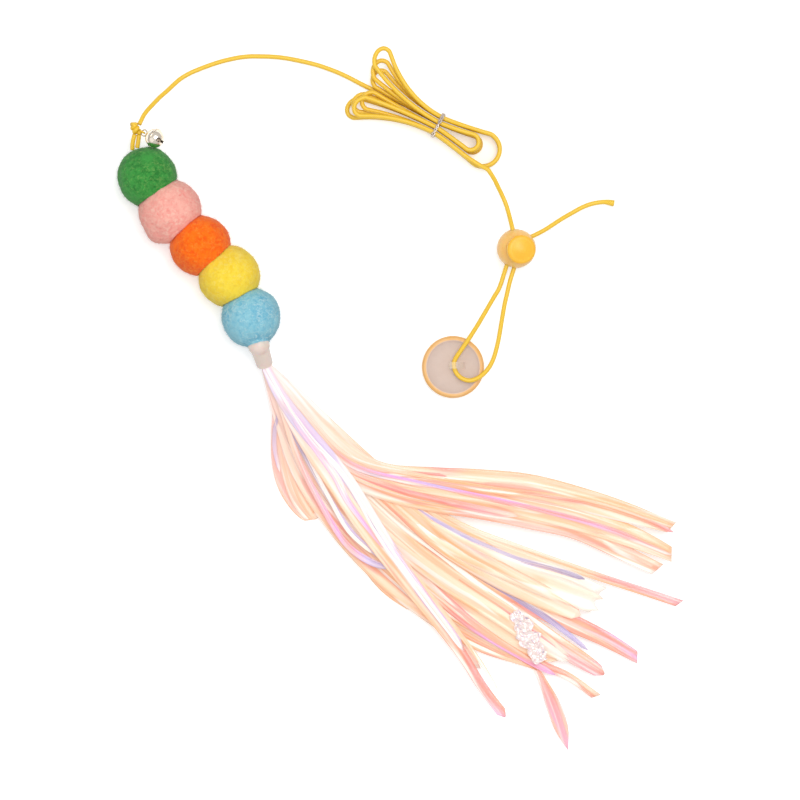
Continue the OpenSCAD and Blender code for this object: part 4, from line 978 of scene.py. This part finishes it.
def strip_rows(height, tip, line, steps):
    """Middle, side step, heading, half width, height and millimetres of each row across a strip."""
    start = Vector((sleeve_end.x, sleeve_end.y, 0))
    points = [start - turned(SLEEVE_TURN) * IN_SLEEVE, start] + [on_table(px, py) for px, py, _ in line]
    narrow = min(1.7, line[0][2] * STEP / 2)
    widths = [narrow, narrow] + [w * STEP / 2 for _, _, w in line]
    fine_line = smooth(points, 8)
    fine_width = [w.x for w in smooth([Vector((w, 0, 0)) for w in widths], 8)]
    along = [0.0]
    for a, b in zip(fine_line, fine_line[1:]):
        along.append(along[-1] + (b - a).length)
    total, rows, k = along[-1], [], 0
    for i in range(steps + 1):
        s = total * i / steps
        while k < len(along) - 2 and along[k + 1] < s:
            k += 1
        f = (s - along[k]) / (along[k + 1] - along[k])
        at, width = fine_line[k].lerp(fine_line[k + 1], f), mix(fine_width[k], fine_width[k + 1], f)
        heading = (fine_line[k + 1] - fine_line[k]).normalized()
        side = Vector((-heading.y, heading.x, 0))
        left = (total - s) / max(width, 0.3)
        if tip == "point" and left < 3:
            width *= max(0.06, left / 3)
        if tip == "round" and left < 0.8:
            width *= math.sqrt(max(0.04, 1 - (1 - left / 0.8) ** 2))
        fall = ease((s - IN_SLEEVE) / FALL_RUN)
        base = mix(sleeve_end.z + (height - 3) * SLEEVE_LAYER, LOWEST + height * LAYER, fall)
        rows.append((at, side, heading, width, base, s))
    return rows


# %% Strip maker
PLEAT_FROM, PLEAT_RUN, TORN_RUN = 6, 25, 14


def strip_mesh(name, height, tones, tip, line, seed, across=10, steps=64):
    """A pleated strip of film."""
    rng = random.Random(seed)
    pleats = [(rng.uniform(1.2, 3.4), rng.uniform(0, 6.3), rng.uniform(-0.02, 0.02), rng.uniform(0.08, 0.2))
              for _ in range(3)]
    tears = [rng.uniform(-1, 1) for _ in range(across + 1)]
    rows = strip_rows(height, tip, line, steps)
    total = rows[-1][-1]
    verts, marks, tone = [], [], []
    for i, (at, side, heading, width, base, s) in enumerate(rows):
        open_out = ease((s - PLEAT_FROM) / PLEAT_RUN)
        half = 2 * i / steps
        shade = mix(tones[0], tones[1], half) if half < 1 else mix(tones[1], tones[2], half - 1)
        for j in range(across + 1):
            v = 2 * j / across - 1
            waves = sum(high * open_out * math.sin(n * v * 3 + phase + lean * s) for n, phase, lean, high in pleats)
            z = base + waves * min(1, width / 2.5)
            p = at + side * v * width
            if tip == "torn":
                p += heading * tears[j] * 2.2 * ease((s - total + TORN_RUN) / TORN_RUN)
            if i == steps and tip == "cut":
                p += heading * v * 1.2 * (1 if seed % 2 else -1)
            verts.append(Vector((p.x, p.y, max(z, TABLE_FILM))))
            marks.append((v * width + seed * 13.7, s))
            tone.append(shade)
    return skin_mesh(name, verts, steps, across, marks, tone)


# %% All strips
for number, (hand, height, tones, tip, line) in enumerate(STRIPS, 1):
    name = "film_strip_%02d_%s" % (number, hand)
    strip = add_piece(name, strip_mesh(name, height, tones, tip, line, number), film, "tassel", "strips_" + hand)
print(len(STRIPS), "strips of film")

# %% [markdown]
# ### The crumpled end
# One strip ends in a crumpled patch that glitters in many small facets. A bump map can't glitter like that from every
# side, so it is a grid whose points are pushed about by noise and left flat-shaded: every facet throws its own light.
# %% Crumpled film
glitter = finish_with("crumpled film", film_group, {"Streaks": 2.0}, all_three, Alpha=0.85, Metallic=0.25,
                      Coat_Weight=1.0, Coat_Roughness=0.05)


def crumpled_mesh(start, end, wide, z, rows=34, cols=16):
    """A torn, crumpled patch from start to end, in the view's steps, as a closed thin skin."""
    a, b = on_table(*start), on_table(*end)
    ahead = (b - a).normalized()
    side = Vector((-ahead.y, ahead.x, 0))
    verts, tone = [], []
    for i in range(rows + 1):
        for j in range(cols + 1):
            u, v = i / rows, 2 * j / cols - 1
            torn = 0.4 + 0.5 * math.sin(math.pi * min(1, 0.05 + u * 0.85))
            torn += 0.55 * noise.noise(Vector((u * 8, 3.1 + (v > 0) * 5, 0)))
            p = a.lerp(b, u) + side * v * wide * STEP / 2 * torn
            p += Vector((noise.noise(p * 1.9), noise.noise(p * 1.9 + Vector((9, 0, 0))), 0)) * 0.5
            high = z + 0.5 * noise.noise(p * 0.5) + 0.42 * noise.noise(p * 1.5 + Vector((0, 0, 4)))
            verts.append(Vector((p.x, p.y, high)))
            tone.append(0.42 + 1.5 * noise.noise(p * 1.1 + Vector((5, 5, 5))))
    marks = [(v.x * 3, v.y * 40) for v in verts]
    return skin_mesh("crumpled_film", verts, rows, cols, marks, tone, False)


patch = add_piece("crumpled_film", crumpled_mesh((514, 611), (542, 661), 22, 5.5), glitter, "tassel", "strips_lower")
print("the crumpled patch has", len(patch.data.polygons), "facets")

# %% [markdown]
# ## Floor, light and finish
# A white floor, a broad soft light from above and a bright surround give the even, high light of the picture. The
# floor shines a little by itself and throws no colour back, so it stays white where the toy's shadow is faint.
# %% Floor and light
FLOOR_HALF, FLOOR_DROP, SURROUND = 3, 0.0003, 0.72
corners = [(x * FLOOR_HALF, y * FLOOR_HALF, 0) for x, y in ((-1, -1), (1, -1), (1, 1), (-1, 1))]
floor_mesh = unlinked_mesh("floor", corners, [(0, 1, 2, 3)], False)
floor = bpy.data.objects.new("floor", floor_mesh)
bpy.context.scene.collection.objects.link(floor)
floor.location.z = -FLOOR_DROP
white = bpy.data.materials.new("table")
white.use_nodes = True
paper = white.node_tree.nodes["Principled BSDF"].inputs
paper["Base Color"].default_value = (0.92, 0.92, 0.92, 1)
paper["Roughness"].default_value = 0.9
paper["Emission Color"].default_value = (1, 1, 1, 1)
paper["Emission Strength"].default_value = 0.3
floor_mesh.materials.append(white)
floor.visible_diffuse = False


# %% Two soft lights
def soft_light(name, at, power, size, colour=(1, 1, 1)):
    """A square lamp that looks at the middle of the toy."""
    light = bpy.data.objects.new(name, bpy.data.lights.new(name, "AREA"))
    light.data.energy, light.data.size, light.data.color = power, size, colour
    light.location = at
    light.rotation_euler = (Vector((middle.x, middle.y, 0)) - Vector(at)).to_track_quat("-Z", "Y").to_euler()
    bpy.context.scene.collection.objects.link(light)


soft_light("key", (0.3, 0.4, 2.0), 21, 1.1, (1, 0.99, 0.97))
soft_light("fill", (-1.2, -0.6, 1.3), 3, 1.6, (0.98, 0.99, 1))
print(len(bpy.data.lights), "lamps over", tuple(round(x, 2) for x in middle.to_2d()))

# %% Surround, darker below
world = bpy.data.worlds.new("surround")
bpy.context.scene.world = world
world.use_nodes = True
sky = world.node_tree
upward = node(sky, "SeparateXYZ", {0: node(sky, "TexCoord").outputs["Generated"]}).outputs[2]
dome = ramp(sky, math_node(sky, "MULTIPLY_ADD", upward, 0.5, 0.5), [(0.4, (0.74, 0.74, 0.74)), (0.75, (1, 1, 1))])
sky.links.new(dome, sky.nodes["Background"].inputs[0])
sky.nodes["Background"].inputs[1].default_value = SURROUND
print("the surround shines at", SURROUND)
